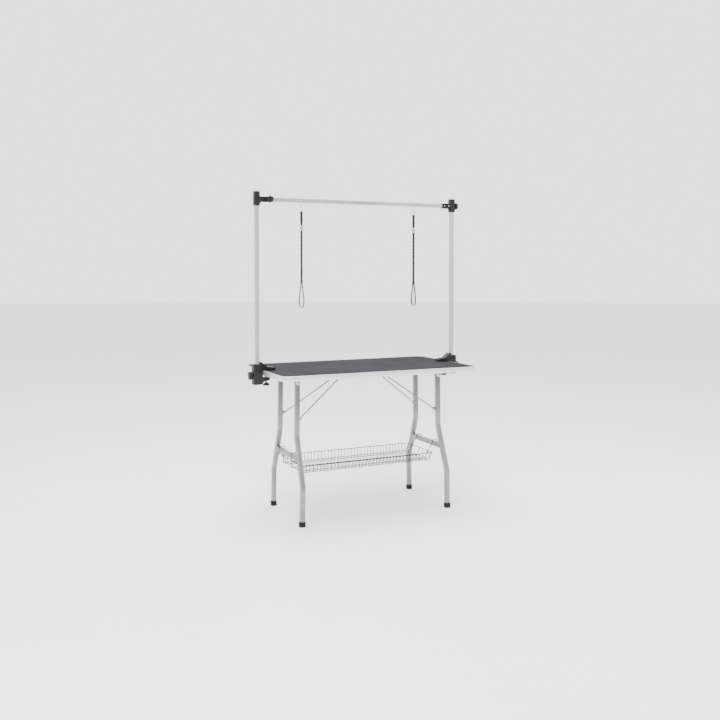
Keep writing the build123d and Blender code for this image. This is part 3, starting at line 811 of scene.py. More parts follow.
@dataclass(frozen=True)
class BentLine:
    """A flat line of straight runs and equal bends, measured along its length."""

    corners: tuple[tuple[float, float], ...]
    radius: float

    def spans(self) -> list[tuple[float, Vector, float, float]]:
        """The line's runs and bends: length, start, heading and curvature of each."""
        points = [Vector(corner) for corner in self.corners]
        runs = [b - a for a, b in zip(points, points[1:])]
        headings = [math.atan2(run.y, run.x) for run in runs]
        turns = [b - a for a, b in zip(headings, headings[1:])]
        trims = [0.0, *(self.radius * math.tan(abs(turn) / 2) for turn in turns), 0.0]
        spans = []
        for index, run in enumerate(runs):
            ahead = run.normalized()
            start = points[index] + ahead * trims[index]
            length = run.length - trims[index] - trims[index + 1]
            spans.append((length, start, headings[index], 0.0))
            if index < len(turns):
                turn = turns[index]
                spans.append((
                    self.radius * abs(turn), start + ahead * length, headings[index],
                    math.copysign(1 / self.radius, turn),
                ))
        return spans

    def stations(self, steps: int) -> list[tuple[Vector, Vector]]:
        """Points and directions where the line needs a ring of vertices.

        Args:
            steps: Rings in each bend.

        Returns:
            Each station's point and direction.
        """
        found = []
        for length, start, heading, curvature in self.spans():
            count = steps if curvature else 1
            for step in range(count):
                found.append(self._on(start, heading, curvature, length * step / count))
        length, start, heading, curvature = self.spans()[-1]
        found.append(self._on(start, heading, curvature, length))
        return found

    @staticmethod
    def _on(
        start: Vector, heading: float, curvature: float, along: float
    ) -> tuple[Vector, Vector]:
        """The point and direction at a distance along one run or bend."""
        now = heading + curvature * along
        ahead = Vector((math.cos(now), math.sin(now)))
        if not curvature:
            return start + ahead * along, ahead
        shift = Vector((math.sin(now) - math.sin(heading), math.cos(heading) - math.cos(now)))
        return start + shift / curvature, ahead


def square_tube(
    name: str, width: float, corner: float, stations: Sequence[tuple[Vector, Vector]],
    origin: Vector, flat: Vector, up: Vector,
) -> Object:
    """A square tube with rounded corners, bent in one plane.

    Args:
        name: The tube's name.
        width: Its width across the flats.
        corner: Its corners' radius.
        stations: Points and directions along its middle, in the plane.
        origin: Where the plane's origin lies.
        flat: The plane's first direction.
        up: The plane's second direction.

    Returns:
        The tube.
    """
    count = len(stations)
    piece = Bench.block(name, (-width / 2, -width / 2, 0), (width / 2, width / 2, count - 1))
    Bench.edit(piece)

    def runs_up(edge: bmesh.types.BMEdge) -> bool:
        return abs(edge.verts[0].co.z - edge.verts[1].co.z) > 0.5

    Bench.choose(piece, "EDGE", runs_up)
    bpy.ops.mesh.bevel(offset=corner, segments=4, affect="EDGES", offset_type="OFFSET")
    Bench.choose(piece, "EDGE", runs_up)
    bpy.ops.mesh.subdivide(number_cuts=count - 2)
    Bench.clear()
    normal = flat.cross(up)

    def onto_line(point: Vector) -> Vector:
        middle, ahead = stations[round(point.z)]
        across = Vector((-ahead.y, ahead.x))
        place = middle + across * point.x
        return origin + flat * place.x + up * place.y + normal * point.y

    Bench.reshape(piece, onto_line)
    return piece


# ----------------------------------------------------------------------------- table top


@dataclass
class TableTop:
    """The board, its mat, the rolled trim and the fittings under it."""

    corner: float = 48 * MM
    roll: float = 3.0 * MM
    top_lip: float = 5 * MM
    bottom_lip: float = 13 * MM
    sheet: float = 1 * MM
    body: str = "table"

    def build(self) -> None:
        """Models the trim and the fittings, and dresses the board and the mat."""
        self._trim()
        dress("top_mat", Finishes.MAT)
        dress("tabletop_board", Finishes.BOARD)
        for node, name, finish, width in (
            ("hinge_brackets", "pressed_hinge_brackets", Finishes.ZINC, 0.5),
            ("brace_catches", "pressed_brace_catches", Finishes.ZINC, 0.35),
        ):
            piece = Bench.from_cad(node, name)
            Bench.ease(piece, width * MM)
            Bench.done(piece, finish, self.body, [node], mend=False)
        self._pins()
        self._screws()

    def _trim(self) -> None:
        """Models the trim: a rounded slab, opened from above and below to its two lips."""
        low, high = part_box("edge_trim")
        piece = Bench.block("rolled_edge_trim", low, high)
        Bench.edit(piece)
        Bench.choose(piece, "EDGE", lambda e: abs(e.verts[0].co.z - e.verts[1].co.z) > self.sheet)
        bpy.ops.mesh.bevel(offset=self.corner, segments=14, affect="EDGES")
        rims = (low.z, high.z)
        Bench.choose(
            piece, "EDGE",
            lambda e: all(min(abs(v.co.z - z) for z in rims) < MM / 10 for v in e.verts)
            and abs(e.verts[0].co.z - e.verts[1].co.z) < MM / 10,
        )
        bpy.ops.mesh.bevel(offset=self.roll, segments=4, affect="EDGES")
        for level, lip, way in ((high.z, self.top_lip, -1), (low.z, self.bottom_lip, 1)):
            Bench.choose(
                piece, "FACE",
                lambda f, z=level: abs(f.normal.z) > 0.99 and abs(f.calc_center_median().z - z) < MM,
            )
            bpy.ops.mesh.inset(thickness=lip - self.roll)
            bpy.ops.mesh.extrude_region_move(
                TRANSFORM_OT_translate={"value": (0, 0, way * 2 * self.sheet)}
            )
            bpy.ops.mesh.inset(thickness=self.sheet)
            bpy.ops.mesh.delete(type="FACE")
        Bench.choose(piece, "EDGE", lambda e: e.is_boundary)
        bpy.ops.mesh.bridge_edge_loops()
        Bench.clear()
        Bench.done(piece, Finishes.TRIM, self.body, ["edge_trim"])

    def _pins(self) -> None:
        """Models the hinge pins with domed heads, and the rivets above them on the cheeks."""
        low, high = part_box("hinge_pins")
        pieces = []
        radius, head, rivet = 4.0 * MM, 6.5 * MM, 4.2 * MM
        rise = 13 * MM
        for side in Side:
            for end in (-1, 1):
                x = side.value * (high.x - head)
                middle = end * LegFrame.top_y
                reach = high.y - LegFrame.top_y - 3 * MM
                z = (low.z + high.z) / 2
                axle = bend_wire(
                    f"pin_{len(pieces)}", [(x, middle - reach, z), (x, middle + reach, z)],
                    radius, radius, 20,
                )
                pieces.append(axle)
                for way in (-1, 1):
                    foot = (x, middle + way * reach, z)
                    facing = Vector((0, way, 0))
                    pieces.append(dome_head(f"pin_{len(pieces)}", foot, facing, head, 3 * MM))
                    above = (x, middle + way * reach, z + rise)
                    pieces.append(dome_head(f"pin_{len(pieces)}", above, facing, rivet, 2 * MM))
        piece = Bench.join(pieces, "domed_hinge_pins")
        Bench.done(piece, Finishes.FASTENER, self.body, ["hinge_pins"])

    def _screws(self) -> None:
        """Rounds the edges of the screw heads under the board."""
        source = Bench.from_cad("underside_screws", "slotted_underside_screws")
        Bench.ease(source, 0.8 * MM, 3)
        Bench.done(source, Finishes.FASTENER, self.body, ["underside_screws"], mend=False)


# ----------------------------------------------------------------------------- leg frames


@dataclass
class LegFrame:
    """A pair of bent legs with their crossbar, feet, lugs and basket hooks."""

    side: Side
    tube: float = 23 * MM
    corner: float = 3.2 * MM
    bend: float = 80 * MM
    hinge: tuple[float, float] = (396 * MM, 690 * MM)
    splay: float = 10 * MM
    top_y: float = 122 * MM
    foot_y: float = 210 * MM
    upper_bend: float = 270 * MM
    lower_bend: float = 495 * MM
    crossbar_drop: float = 375 * MM

    @property
    def body(self) -> str:
        """The CAD body that the frame is."""
        return f"{self.side.label}_leg_frame"

    @property
    def origin(self) -> Vector:
        """The middle of the hinge line."""
        return Vector((self.side.value * self.hinge[0], 0, self.hinge[1]))

    @property
    def up(self) -> Vector:
        """The direction up the splayed legs."""
        return Vector((-self.side.value * self.splay, 0, self.hinge[1])).normalized()

    def build(self) -> None:
        """Models every piece of the frame."""
        for name, end in (("front", -1), ("rear", 1)):
            self._leg(name, end)
        self._crossbar()
        self._welds()
        self._feet()
        for node, name, finish, width in (
            ("brace_lugs", "pressed_brace_lugs", Finishes.LEG, 0.5),
            ("brace_rivets", "headed_brace_rivets", Finishes.FASTENER, 0.8),
        ):
            piece = Bench.from_cad(f"{self.side.label}_{node}", f"{self.side.label}_{name}")
            Bench.ease(piece, width * MM, 3)
            Bench.done(piece, finish, self.body, [f"{self.side.label}_{node}"], mend=False)
        dress(f"{self.side.label}_basket_hooks", Finishes.WIRE)

    def _leg(self, name: str, end: int) -> None:
        """Models one leg as a bent square tube with a rounded, closed top."""
        node = f"{self.side.label}_{name}_leg"
        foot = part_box(node)[0].z
        line = BentLine(
            (
                (end * self.top_y, self.tube / 2 - 0.2 * MM),
                (end * self.top_y, -self.upper_bend),
                (end * self.foot_y, -self.lower_bend),
                (end * self.foot_y, -(self.hinge[1] - foot - 0.3 * MM)),
            ),
            self.bend,
        )
        piece = square_tube(
            f"bent_{node}", self.tube, self.corner, line.stations(8), self.origin,
            Vector((0, 1, 0)), self.up,
        )
        Bench.edit(piece)
        Bench.choose(piece, "FACE", lambda f: len(f.verts) > 4)
        bpy.ops.mesh.bevel(offset=0.8 * MM, segments=2, affect="EDGES")
        Bench.clear()
        Bench.done(piece, Finishes.LEG, self.body, [node])

    def _junction(self) -> tuple[float, Vector]:
        """Half the crossbar's length between the legs' middles, and the crossbar's middle."""
        slope = (self.foot_y - self.top_y) / (self.lower_bend - self.upper_bend)
        half = self.top_y + slope * (self.crossbar_drop - self.upper_bend)
        return half, self.origin - self.up * self.crossbar_drop

    def _crossbar(self) -> None:
        """Models the crossbar, which ends inside the legs."""
        half, middle = self._junction()
        node = f"{self.side.label}_crossbar"
        reach = half - 6 * MM
        stations = [
            (Vector((0, -reach)), Vector((0, 1))),
            (Vector((0, 0)), Vector((0, 1))),
            (Vector((0, reach)), Vector((0, 1))),
        ]
        piece = square_tube(
            f"square_{node}", self.tube, self.corner, stations, middle,
            self.up, Vector((0, 1, 0)),
        )
        Bench.done(piece, Finishes.LEG, self.body, [node])

    def _welds(self) -> None:
        """Models the weld bead round each end of the crossbar."""
        half, middle = self._junction()
        lean = math.atan2(self.foot_y - self.top_y, self.lower_bend - self.upper_bend)
        inset = self.tube / 2 / math.cos(lean)
        normal = self.up.cross(Vector((0, 1, 0)))
        beads = []
        for end in (-1, 1):
            Bench.clear()
            bpy.ops.mesh.primitive_torus_add(
                major_radius=1.0, minor_radius=0.1, major_segments=64, minor_segments=8
            )
            bead = Bench.named(f"{self.side.label}_weld_{end}")

            def squared(point: Vector, end: int = end) -> Vector:
                ring = Vector((point.x, point.y)).length
                angle = math.atan2(point.y, point.x)
                ripple = 1 + 0.22 * math.sin(22 * angle)
                power = (abs(math.cos(angle)) ** 8 + abs(math.sin(angle)) ** 8) ** (1 / 8)
                reach = self.tube / 2 / power + (ring - 1) * 10 * 1.5 * MM * ripple
                flat = reach * math.cos(angle)
                tall = reach * math.sin(angle)
                back = point.z * 10 * 1.5 * MM * ripple
                y = half - inset - back - tall * math.tan(lean)
                return middle + normal * flat + self.up * tall + Vector((0, end * y, 0))

            Bench.reshape(bead, squared)
            beads.append(bead)
        piece = Bench.join(beads, f"{self.side.label}_crossbar_welds")
        Bench.done(piece, Finishes.WELD, self.body)

    def _feet(self) -> None:
        """Models the rubber feet: a cap with a grip band, a groove and a stepped sole."""
        node = f"{self.side.label}_feet"
        low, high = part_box(node)
        size = high.x - low.x
        caps = []
        for end in (-1, 1):
            y = end * self.foot_y
            cap = Bench.block(
                f"{self.side.label}_cap_{end}",
                (low.x, y - size / 2, low.z), (high.x, y + size / 2, high.z),
            )
            Bench.edit(cap)
            Bench.choose(cap, "EDGE", lambda e: abs(e.verts[0].co.z - e.verts[1].co.z) > MM)
            bpy.ops.mesh.bevel(offset=4 * MM, segments=5, affect="EDGES")
            Bench.choose(cap, "EDGE", lambda e: abs(e.verts[0].co.z - e.verts[1].co.z) > MM)
            bpy.ops.mesh.subdivide(number_cuts=9)
            Bench.choose(cap, "FACE", lambda f: f.normal.z > 0.9)
            bpy.ops.mesh.inset(thickness=2.0 * MM)
            bpy.ops.mesh.extrude_region_move(TRANSFORM_OT_translate={"value": (0, 0, -1.2 * MM)})
            Bench.clear()
            centre = Vector(((low.x + high.x) / 2, y, 0))
            tall = high.z - low.z

            def stepped(point: Vector, centre: Vector = centre, tall: float = tall) -> Vector:
                level = round((point.z - low.z) / tall * 10)
                share = {0: 0.955, 1: 1.0, 2: 1.0, 3: 0.955}.get(level, 0.965)
                if level in (5, 7):
                    share = 0.985
                flat = (point - centre) * share + centre
                return Vector((flat.x, flat.y, point.z))

            Bench.reshape(cap, stepped)
            caps.append(cap)
        piece = Bench.join(caps, f"{self.side.label}_rubber_feet")
        Bench.ease(piece, 0.3 * MM)
        Bench.done(piece, Finishes.FOOT, self.body, [node])


@dataclass
class Brace:
    """A folding brace: two rods and the bar that joins them at the apex."""

    side: Side

    def build(self) -> None:
        """Dresses the rods and rounds the apex bar's ends."""
        label, body = self.side.label, f"{self.side.label}_brace"
        for end in ("front", "rear"):
            node = f"{label}_brace_{end}_rod"
            piece = Bench.from_cad(node, f"{label}_flattened_{end}_rod")
            Bench.ease(piece, 0.4 * MM)
            Bench.done(piece, Finishes.ROD, body, [node], mend=False)
        node = f"{label}_brace_apex_bar"
        low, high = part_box(node)
        radius = (high.z - low.z) / 2
        x, z = (low.x + high.x) / 2, (low.z + high.z) / 2
        nose = 1.0 * MM
        bar = turned(
            f"{label}_apex_bar",
            [(radius - nose, 0.0), (radius - 0.3 * MM, 0.3 * MM), (radius, nose),
             (radius, high.y - low.y - nose), (radius - 0.3 * MM, high.y - low.y - 0.3 * MM),
             (radius - nose, high.y - low.y)],
            (x, low.y, z), Vector((0, 1, 0)), 24,
        )
        Bench.done(bar, Finishes.ROD, body, [node])


# ----------------------------------------------------------------------------- basket


@dataclass
class Basket:
    """The wire basket: a rim, bent cross wires, lengthwise wires and slanted end wires."""

    rim_radius: float = 2.0 * MM
    wire_radius: float = 1.6 * MM
    cross_wires: int = 38
    lengthwise: tuple[float, ...] = (-126 * MM, -88 * MM, 0.0, 88 * MM, 126 * MM)
    right_lean: float = 12.5 * MM
    reach: float = 2.0 * MM
    body: str = "basket"

    def build(self) -> None:
        """Models the whole basket."""
        ends = (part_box("basket_left_end")[0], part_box("basket_front_wall")[1])
        left, right = ends[0].x + self.rim_radius, ends[1].x - self.rim_radius
        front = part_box("basket_front_wall")[0].y + self.rim_radius
        rim_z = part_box("basket_front_wall")[1].z - self.rim_radius
        floor_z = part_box("basket_floor")[0].z + 3 * self.wire_radius
        self._rim(left, right, front, rim_z)
        self._cross_wires(left, right, front, rim_z, floor_z)
        self._lengthwise_wires(left, right, rim_z, floor_z)
        self._hook_feet()

    def _rim(self, left: float, right: float, front: float, z: float) -> None:
        """Bends the rim, a closed loop with rounded corners, butted in the middle of the back."""
        middle = (left + right) / 2
        route = [
            (middle, -front, z), (right, -front, z), (right, front, z),
            (left, front, z), (left, -front, z), (middle, -front, z),
        ]
        piece = bend_wire("basket_rim_wire", route, self.rim_radius, 10 * MM, 12, 6)
        Bench.done(piece, Finishes.WIRE, self.body, ["basket_front_wall", "basket_back_wall"])

    def _cross_wires(
        self, left: float, right: float, front: float, rim_z: float, floor_z: float
    ) -> None:
        """Bends one cross wire, copies it along the basket and joins the copies."""
        inner = front + self.rim_radius + self.wire_radius
        first = left + 12 * MM
        last = right - self.right_lean - 8 * MM
        route = [
            (first, inner, rim_z + self.rim_radius - 0.4 * MM), (first, inner, floor_z),
            (first, -inner, floor_z), (first, -inner, rim_z + self.rim_radius - 0.4 * MM),
        ]
        pattern = bend_wire("basket_cross_wires", route, self.wire_radius, 9 * MM, 8, 4)
        pitch = (last - first) / (self.cross_wires - 1)
        wires = [pattern]
        for index in range(1, self.cross_wires):
            shift = Matrix.Translation((index * pitch, 0, 0))
            wires.append(Bench.copy_at(pattern, f"cross_wire_{index}", shift))
        piece = Bench.join(wires, "basket_cross_wires")
        Bench.done(piece, Finishes.WIRE, self.body, ["basket_floor"])

    def _lengthwise_wires(self, left: float, right: float, rim_z: float, floor_z: float) -> None:
        """Bends the lengthwise wires, which turn up at both ends to the rim."""
        z = floor_z - 2 * self.wire_radius
        step = self.rim_radius + self.wire_radius
        top = rim_z + self.rim_radius - 0.6 * MM
        wires = []
        for index, y in enumerate(self.lengthwise):
            route = [
                (left + step, y, top), (left + step, y, z),
                (right - self.right_lean - step, y, z), (right - step, y, top),
            ]
            wires.append(
                bend_wire(f"lengthwise_wire_{index}", route, self.wire_radius, 8 * MM, 8, 4)
            )
        piece = Bench.join(wires, "basket_lengthwise_wires")
        Bench.done(piece, Finishes.WIRE, self.body, ["basket_left_end"])

    def _hook_feet(self) -> None:
        """Bends the slanted wires at the right end that lead up to the hooks."""
        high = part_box("basket_right_end")[1]
        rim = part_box("basket_front_wall")[1]
        radius = 1.9 * MM
        foot = Vector((rim.x - self.rim_radius, 0, rim.z - MM))
        climb = (Vector((high.x, 0, high.z)) - foot).normalized()
        top = Vector((high.x - radius * climb.z, 0, high.z - radius * climb.x)) + climb * self.reach
        low = foot - Vector((4.0 * MM, 0, 16 * MM))
        wires = []
        for index, y in enumerate((-88 * MM, 88 * MM)):
            shift = Vector((0, y, 0))
            route = [low + shift, foot + shift, top + shift]
            wires.append(bend_wire(f"hook_foot_{index}", route, radius, 6 * MM, 10, 4))
        piece = Bench.join(wires, "basket_hook_feet")
        Bench.done(piece, Finishes.WIRE, self.body, ["basket_right_end"])


# ----------------------------------------------------------------------------- overhead arm


@dataclass
class Arm:
    """The posts and top bar with their corner fittings, knobs, screws and staples."""

    body: str = "arm"

    def build(self) -> None:
        """Models the fittings and dresses the extrusions."""
        for side in Side:
            label = side.label
            dress(f"{label}_post", Finishes.POST)
            node = f"{label}_corner_fitting"
            piece = Bench.from_cad(node, f"moulded_{node}")
            Bench.ease(piece, 1.0 * MM, 3, 50)
            Bench.done(piece, Finishes.CLAMP, self.body, [node], mend=False)
            self._knob(f"{label}_fitting")
        dress("top_bar", Finishes.BAR)
        dress("noose_staples", Finishes.CHROME)
        self._ribs()
        self._screws()

    @staticmethod
    def _knob(prefix: str) -> None:
        """Rounds a star knob and dresses its stud."""
        body = f"{prefix}_knob"
        piece = Bench.from_cad(body, f"{prefix}_star_knob")
        Bench.ease(piece, 0.7 * MM, 3)
        Bench.done(piece, Finishes.KNOB, body, [body], mend=False)
        dress(f"{prefix}_stud", Finishes.FASTENER)

    def _ribs(self) -> None:
        """Models the stiffening ribs under each fitting's stub."""
        for side in Side:
            low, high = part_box(f"{side.label}_corner_fitting")
            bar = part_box("top_bar")
            sleeve = 28.5 * MM
            inner = high.x - sleeve if side is Side.RIGHT else low.x + sleeve
            under = bar[0].z - 3.5 * MM
            y = (low.y + high.y) / 2
            rib = Bench.block(
                f"{side.label}_fitting_rib",
                (inner - 10 * MM, y - 2 * MM, under - 12 * MM),
                (inner + 10 * MM, y + 2 * MM, under + 1 * MM),
            )
            Bench.edit(rib)
            away = side.value

            def far_foot(vertex: bmesh.types.BMVert, edge: float = inner, way: int = away) -> bool:
                return (vertex.co.x - edge) * way < 0 and vertex.co.z < under - 5 * MM

            Bench.choose(rib, "VERT", far_foot)
            bpy.ops.transform.translate(value=(away * 9 * MM, 0, 0))
            Bench.clear()
            Bench.ease(rib, 0.8 * MM, 2, 20)
            Bench.done(rib, Finishes.CLAMP, self.body)

    def _screws(self) -> None:
        """Models the small screws that hold the bar in the right fitting."""
        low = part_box("right_corner_fitting")[0]
        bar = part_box("top_bar")
        y = (bar[0].y + bar[1].y) / 2 - 13.5 * MM
        z = (bar[0].z + bar[1].z) / 2
        heads = [
            dome_head(f"fitting_screw_{i}", (low.x + x, y, z), Vector((0, -1, 0)), 3.2 * MM, 2 * MM)
            for i, x in enumerate((12 * MM, 38 * MM))
        ]
        piece = Bench.join(heads, "right_fitting_screws")
        Bench.done(piece, Finishes.FASTENER, self.body)


@dataclass
class Clamp:
    """A table clamp: its moulded body, its star knob and its pressure screw."""

    side: Side
    thread_pitch: float = 1.5 * MM

    def build(self) -> None:
        """Models the clamp's pieces."""
        label = self.side.label
        node = f"{label}_clamp_body"
        piece = Bench.from_cad(node, f"moulded_{node}")
        Bench.ease(piece, 1.4 * MM, 3, 40)
        Bench.done(piece, Finishes.CLAMP, "table", [node], mend=False)
        Arm._knob(f"{label}_clamp")
        node = f"{label}_screw_grip"
        grip = Bench.from_cad(node, f"{label}_disc_grip")
        Bench.ease(grip, 0.5 * MM)
        Bench.done(grip, Finishes.KNOB, f"{label}_clamp_screw", [node], mend=False)
        self._screw()
        self._pads()

    def _screw(self) -> None:
        """Turns the pressure screw: a threaded shank and a swivel pad."""
        label = self.side.label
        node = f"{label}_clamp_screw"
        low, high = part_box(node)
        x, y = (low.x + high.x) / 2, (low.y + high.y) / 2
        shank, root, pad = 4.0 * MM, 3.5 * MM, 9.0 * MM
        tall = high.z - low.z
        turns = int((tall - 6 * MM) / self.thread_pitch)
        profile = [(root, 0.0)]
        for turn in range(turns):
            start = turn * self.thread_pitch
            profile += [(shank, start + 0.5 * self.thread_pitch), (root, start + self.thread_pitch)]
        profile += [
            (root, tall - 4.2 * MM), (pad - 2 * MM, tall - 4 * MM), (pad, tall - 3 * MM),
            (pad, tall - 0.8 * MM), (pad - 0.8 * MM, tall), (0.0, tall),
        ]
        screw = turned(f"{label}_threaded_screw", profile, (x, y, low.z), Vector((0, 0, 1)), 28)
        Bench.done(screw, Finishes.FASTENER, f"{label}_clamp_screw", [node])

    def _pads(self) -> None:
        """Models the ribs on the sleeve's outer faces."""
        label = self.side.label
        low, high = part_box(f"{label}_clamp_body")
        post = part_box(f"{label}_post")
        sleeve_top = high.z - 12 * MM
        ribs = []
        for way in (-1, 1):
            face = low.y if way < 0 else high.y
            for index in range(2):
                x = post[0].x + (3 + 14 * index) * MM
                rib = Bench.block(
                    f"{label}_rib_{way}_{index}",
                    (x - 1.5 * MM, face - 1.2 * MM, low.z + 12 * MM),
                    (x + 1.5 * MM, face + 1.2 * MM, sleeve_top - 8 * MM),
                )
                ribs.append(rib)
        piece = Bench.join(ribs, f"{label}_clamp_ribs")
        Bench.ease(piece, 0.6 * MM, 3)
        Bench.done(piece, Finishes.CLAMP, "table")


# ----------------------------------------------------------------------------- nooses


@dataclass
class Noose:
    """A noose: snap hook, swivel ring, webbing loop and slider."""

    side: Side
    width: float = 12 * MM
    thickness: float = 1.8 * MM
    length: float = 0.978
    strand: tuple[tuple[float, float], ...] = (
        (2.4 * MM, 1534.1 * MM),
        (2.4 * MM, 1290.0 * MM),
        (2.45 * MM, 1215.0 * MM),
        (2.5 * MM, 1178.0 * MM),
        (7.0 * MM, 1141.0 * MM),
        (11.4 * MM, 1107.0 * MM),
        (12.3 * MM, 1082.0 * MM),
        (11.2 * MM, 1063.0 * MM),
        (6.4 * MM, 1051.5 * MM),
    )

    def build(self) -> None:
        """Models the noose's pieces, the webbing first."""
        label = self.side.label
        low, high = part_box(f"{label}_noose_slider")
        self.middle = Vector(((low.x + high.x) / 2, (low.y + high.y) / 2, 0))
        slider = self._slider()
        self._strap(high.z)
        self._hook()
        self._ring()

    def _slider(self) -> Object:
        """Rounds the slider and gives it raised bands."""
        label = self.side.label
        node = f"{label}_noose_slider"
        piece = Bench.from_cad(node, f"{label}_cast_slider")
        Bench.ease(piece, 0.5 * MM)
        low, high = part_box(node)
        bands = []
        for index in range(3):
            z = low.z + (high.z - low.z) * (0.2 + 0.3 * index)
            for way in (-1, 1):
                face = low.y if way < 0 else high.y
                bands.append(Bench.block(
                    f"{label}_band_{index}_{way}",
                    (low.x + 1.2 * MM, face - 0.5 * MM, z - 1.2 * MM),
                    (high.x - 1.2 * MM, face + 0.5 * MM, z + 1.2 * MM),
                ))
        band = Bench.join(bands, f"{label}_slider_bands")
        Bench.ease(band, 0.35 * MM)
        piece = Bench.join([piece, band], f"{label}_cast_slider")
        return Bench.done(piece, Finishes.CHROME, f"{label}_slider", [node], mend=False)

    def _centreline(self, untwisted: float) -> list[Vector]:
        """The webbing's middle line as offsets, read from a smooth spline.

        Args:
            untwisted: The height below which the two strands lie side by side along X.

        Returns:
            Offset along the strands' spread, the twist and the height of each point.
        """
        down = [(dx, z) for dx, z in self.strand]
        route = down + [(-dx, z) for dx, z in reversed(down)]
        curve = bpy.data.curves.new("noose_line", "CURVE")
        curve.dimensions = "3D"
        curve.resolution_u = 24
        spline = curve.splines.new("NURBS")
        spline.points.add(len(route) - 1)
        for point, (dx, z) in zip(spline.points, route):
            point.co = (dx, 0, z, 1)
        spline.order_u = 3
        spline.use_endpoint_u = True
        holder = bpy.data.objects.new("noose_line", curve)
        mesh = bpy.data.meshes.new_from_object(holder)
        top = self.strand[0][1]
        line = []
        for vertex in mesh.vertices:
            share = min(max((vertex.co.z - untwisted) / (top - untwisted), 0.0), 1.0)
            twist = QUARTER_TURN * share * share * (3 - 2 * share)
            line.append(Vector((vertex.co.x, twist, vertex.co.z)))
        bpy.data.objects.remove(holder)
        bpy.data.meshes.remove(mesh)
        bpy.data.curves.remove(curve)
        return line

    def _section(self) -> list[tuple[float, float]]:
        """The tape's section, across and through, with rolled selvedges."""
        half, deep = self.width / 2, self.thickness / 2
        edge = [
            (half - 0.9 * MM, deep * 0.86), (half - 0.5 * MM, deep), (half - 0.15 * MM, deep * 0.8),
            (half, deep * 0.3),
        ]
        quarter = [(0.0, deep * 0.88), (half * 0.5, deep * 0.9), *edge]
        right = quarter + [(u, -t) for u, t in reversed(quarter)]
        return right + [(-u, t) for u, t in reversed(right[1:-1])]

    def _strap(self, untwisted: float) -> None:
        """Weaves the webbing: one endless tape that folds over the ring's wire."""
        label = self.side.label
        line = self._centreline(untwisted)
        rings, path = [], []
        for offset, twist, z in line:
            spread = Vector((math.cos(twist), math.sin(twist), 0))
            across = Vector((-math.sin(twist), math.cos(twist), 0))
            place = self.middle + spread * offset + Vector((0, 0, z))
            rings.append([place, across])
            path.append(place)
        fold = abs(self.strand[0][0])
        wire = Vector((0, 0, self.strand[0][1] + 1.4 * MM)) + self.middle
        for step in range(1, 12):
            angle = math.pi * (1 - step / 12)
            reach = Vector((0, math.cos(angle), math.sin(angle))) * fold
            rings.append([wire + reach, Vector((-1, 0, 0))])
        section = self._section()
        count, sides = len(rings), len(section)
        points = []
        for index, (place, across) in enumerate(rings):
            ahead = (rings[(index + 1) % count][0] - rings[index - 1][0]).normalized()
            through = ahead.cross(across).normalized()
            flat = through.cross(ahead).normalized()
            points += [place + flat * u + through * t for u, t in section]
        faces = []
        for index in range(count):
            here, there = index * sides, (index + 1) % count * sides
            for k in range(sides):
                n = (k + 1) % sides
                faces.append((here + k, here + n, there + n, there + k))
        mesh = bpy.data.meshes.new(f"{label}_webbing_loop")
        mesh.from_pydata(points, [], faces)
        piece = bpy.data.objects.new(mesh.name, mesh)
        bpy.context.scene.collection.objects.link(piece)
        travelled = [0.0]
        for index in range(count):
            step = (rings[(index + 1) % count][0] - rings[index][0]).length
            travelled.append(travelled[-1] + step)
        layer = mesh.uv_layers.new(name="UVMap")
        for face in mesh.polygons:
            for corner, loop in enumerate(face.loop_indices):
                ring, k = divmod(face.index, sides)
                along = travelled[ring + (1 if corner > 1 else 0)]
                slot = (k + (1 if corner in (1, 2) else 0)) % sides
                layer.data[loop].uv = (along, section[slot][0] / self.width + 0.5)
        Bench.done(piece, Finishes.TAPE, f"{label}_noose", [f"{label}_noose_strap"])

    def _hook(self) -> None:
        """Models the snap hook: its loop, its swivel barrel and its thumb stud."""
        label = self.side.label
        node = f"{label}_snap_hook"
        low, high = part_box(node)
        wire = 1.4 * MM
        loop = (high.y - low.y) / 2 - wire
        barrel_tall = high.z - low.z - 2 * loop - wire
        Bench.clear()
        centre = (self.middle.x, self.middle.y, high.z - wire - loop)
        bpy.ops.mesh.primitive_torus_add(
            major_radius=loop, minor_radius=wire, major_segments=40, minor_segments=14,
            location=centre, rotation=(0, QUARTER_TURN, 0),
        )
        bpy.ops.object.transform_apply(location=True, rotation=True, scale=True)
        ring = Bench.named(f"{label}_hook_loop")
        barrel = turned(
            f"{label}_hook_barrel",
            [(3.4 * MM, 0.0), (3.6 * MM, 0.5 * MM), (3.6 * MM, 1.4 * MM), (2.7 * MM, 1.8 * MM),
             (2.6 * MM, barrel_tall - 1.0 * MM), (3.0 * MM, barrel_tall - 0.3 * MM),
             (2.0 * MM, barrel_tall + 0.6 * MM)],
            (self.middle.x, self.middle.y, low.z), Vector((0, 0, 1)), 28,
        )
        stud = dome_head(
            f"{label}_hook_stud",
            (self.middle.x, self.middle.y - loop - wire * 0.8, centre[2]), Vector((0, -1, 0)),
            1.5 * MM, 1.6 * MM,
        )
        piece = Bench.join([ring, barrel, stud], f"{label}_sprung_hook")
        Bench.done(piece, Finishes.CHROME, f"{label}_noose_hook", [node])

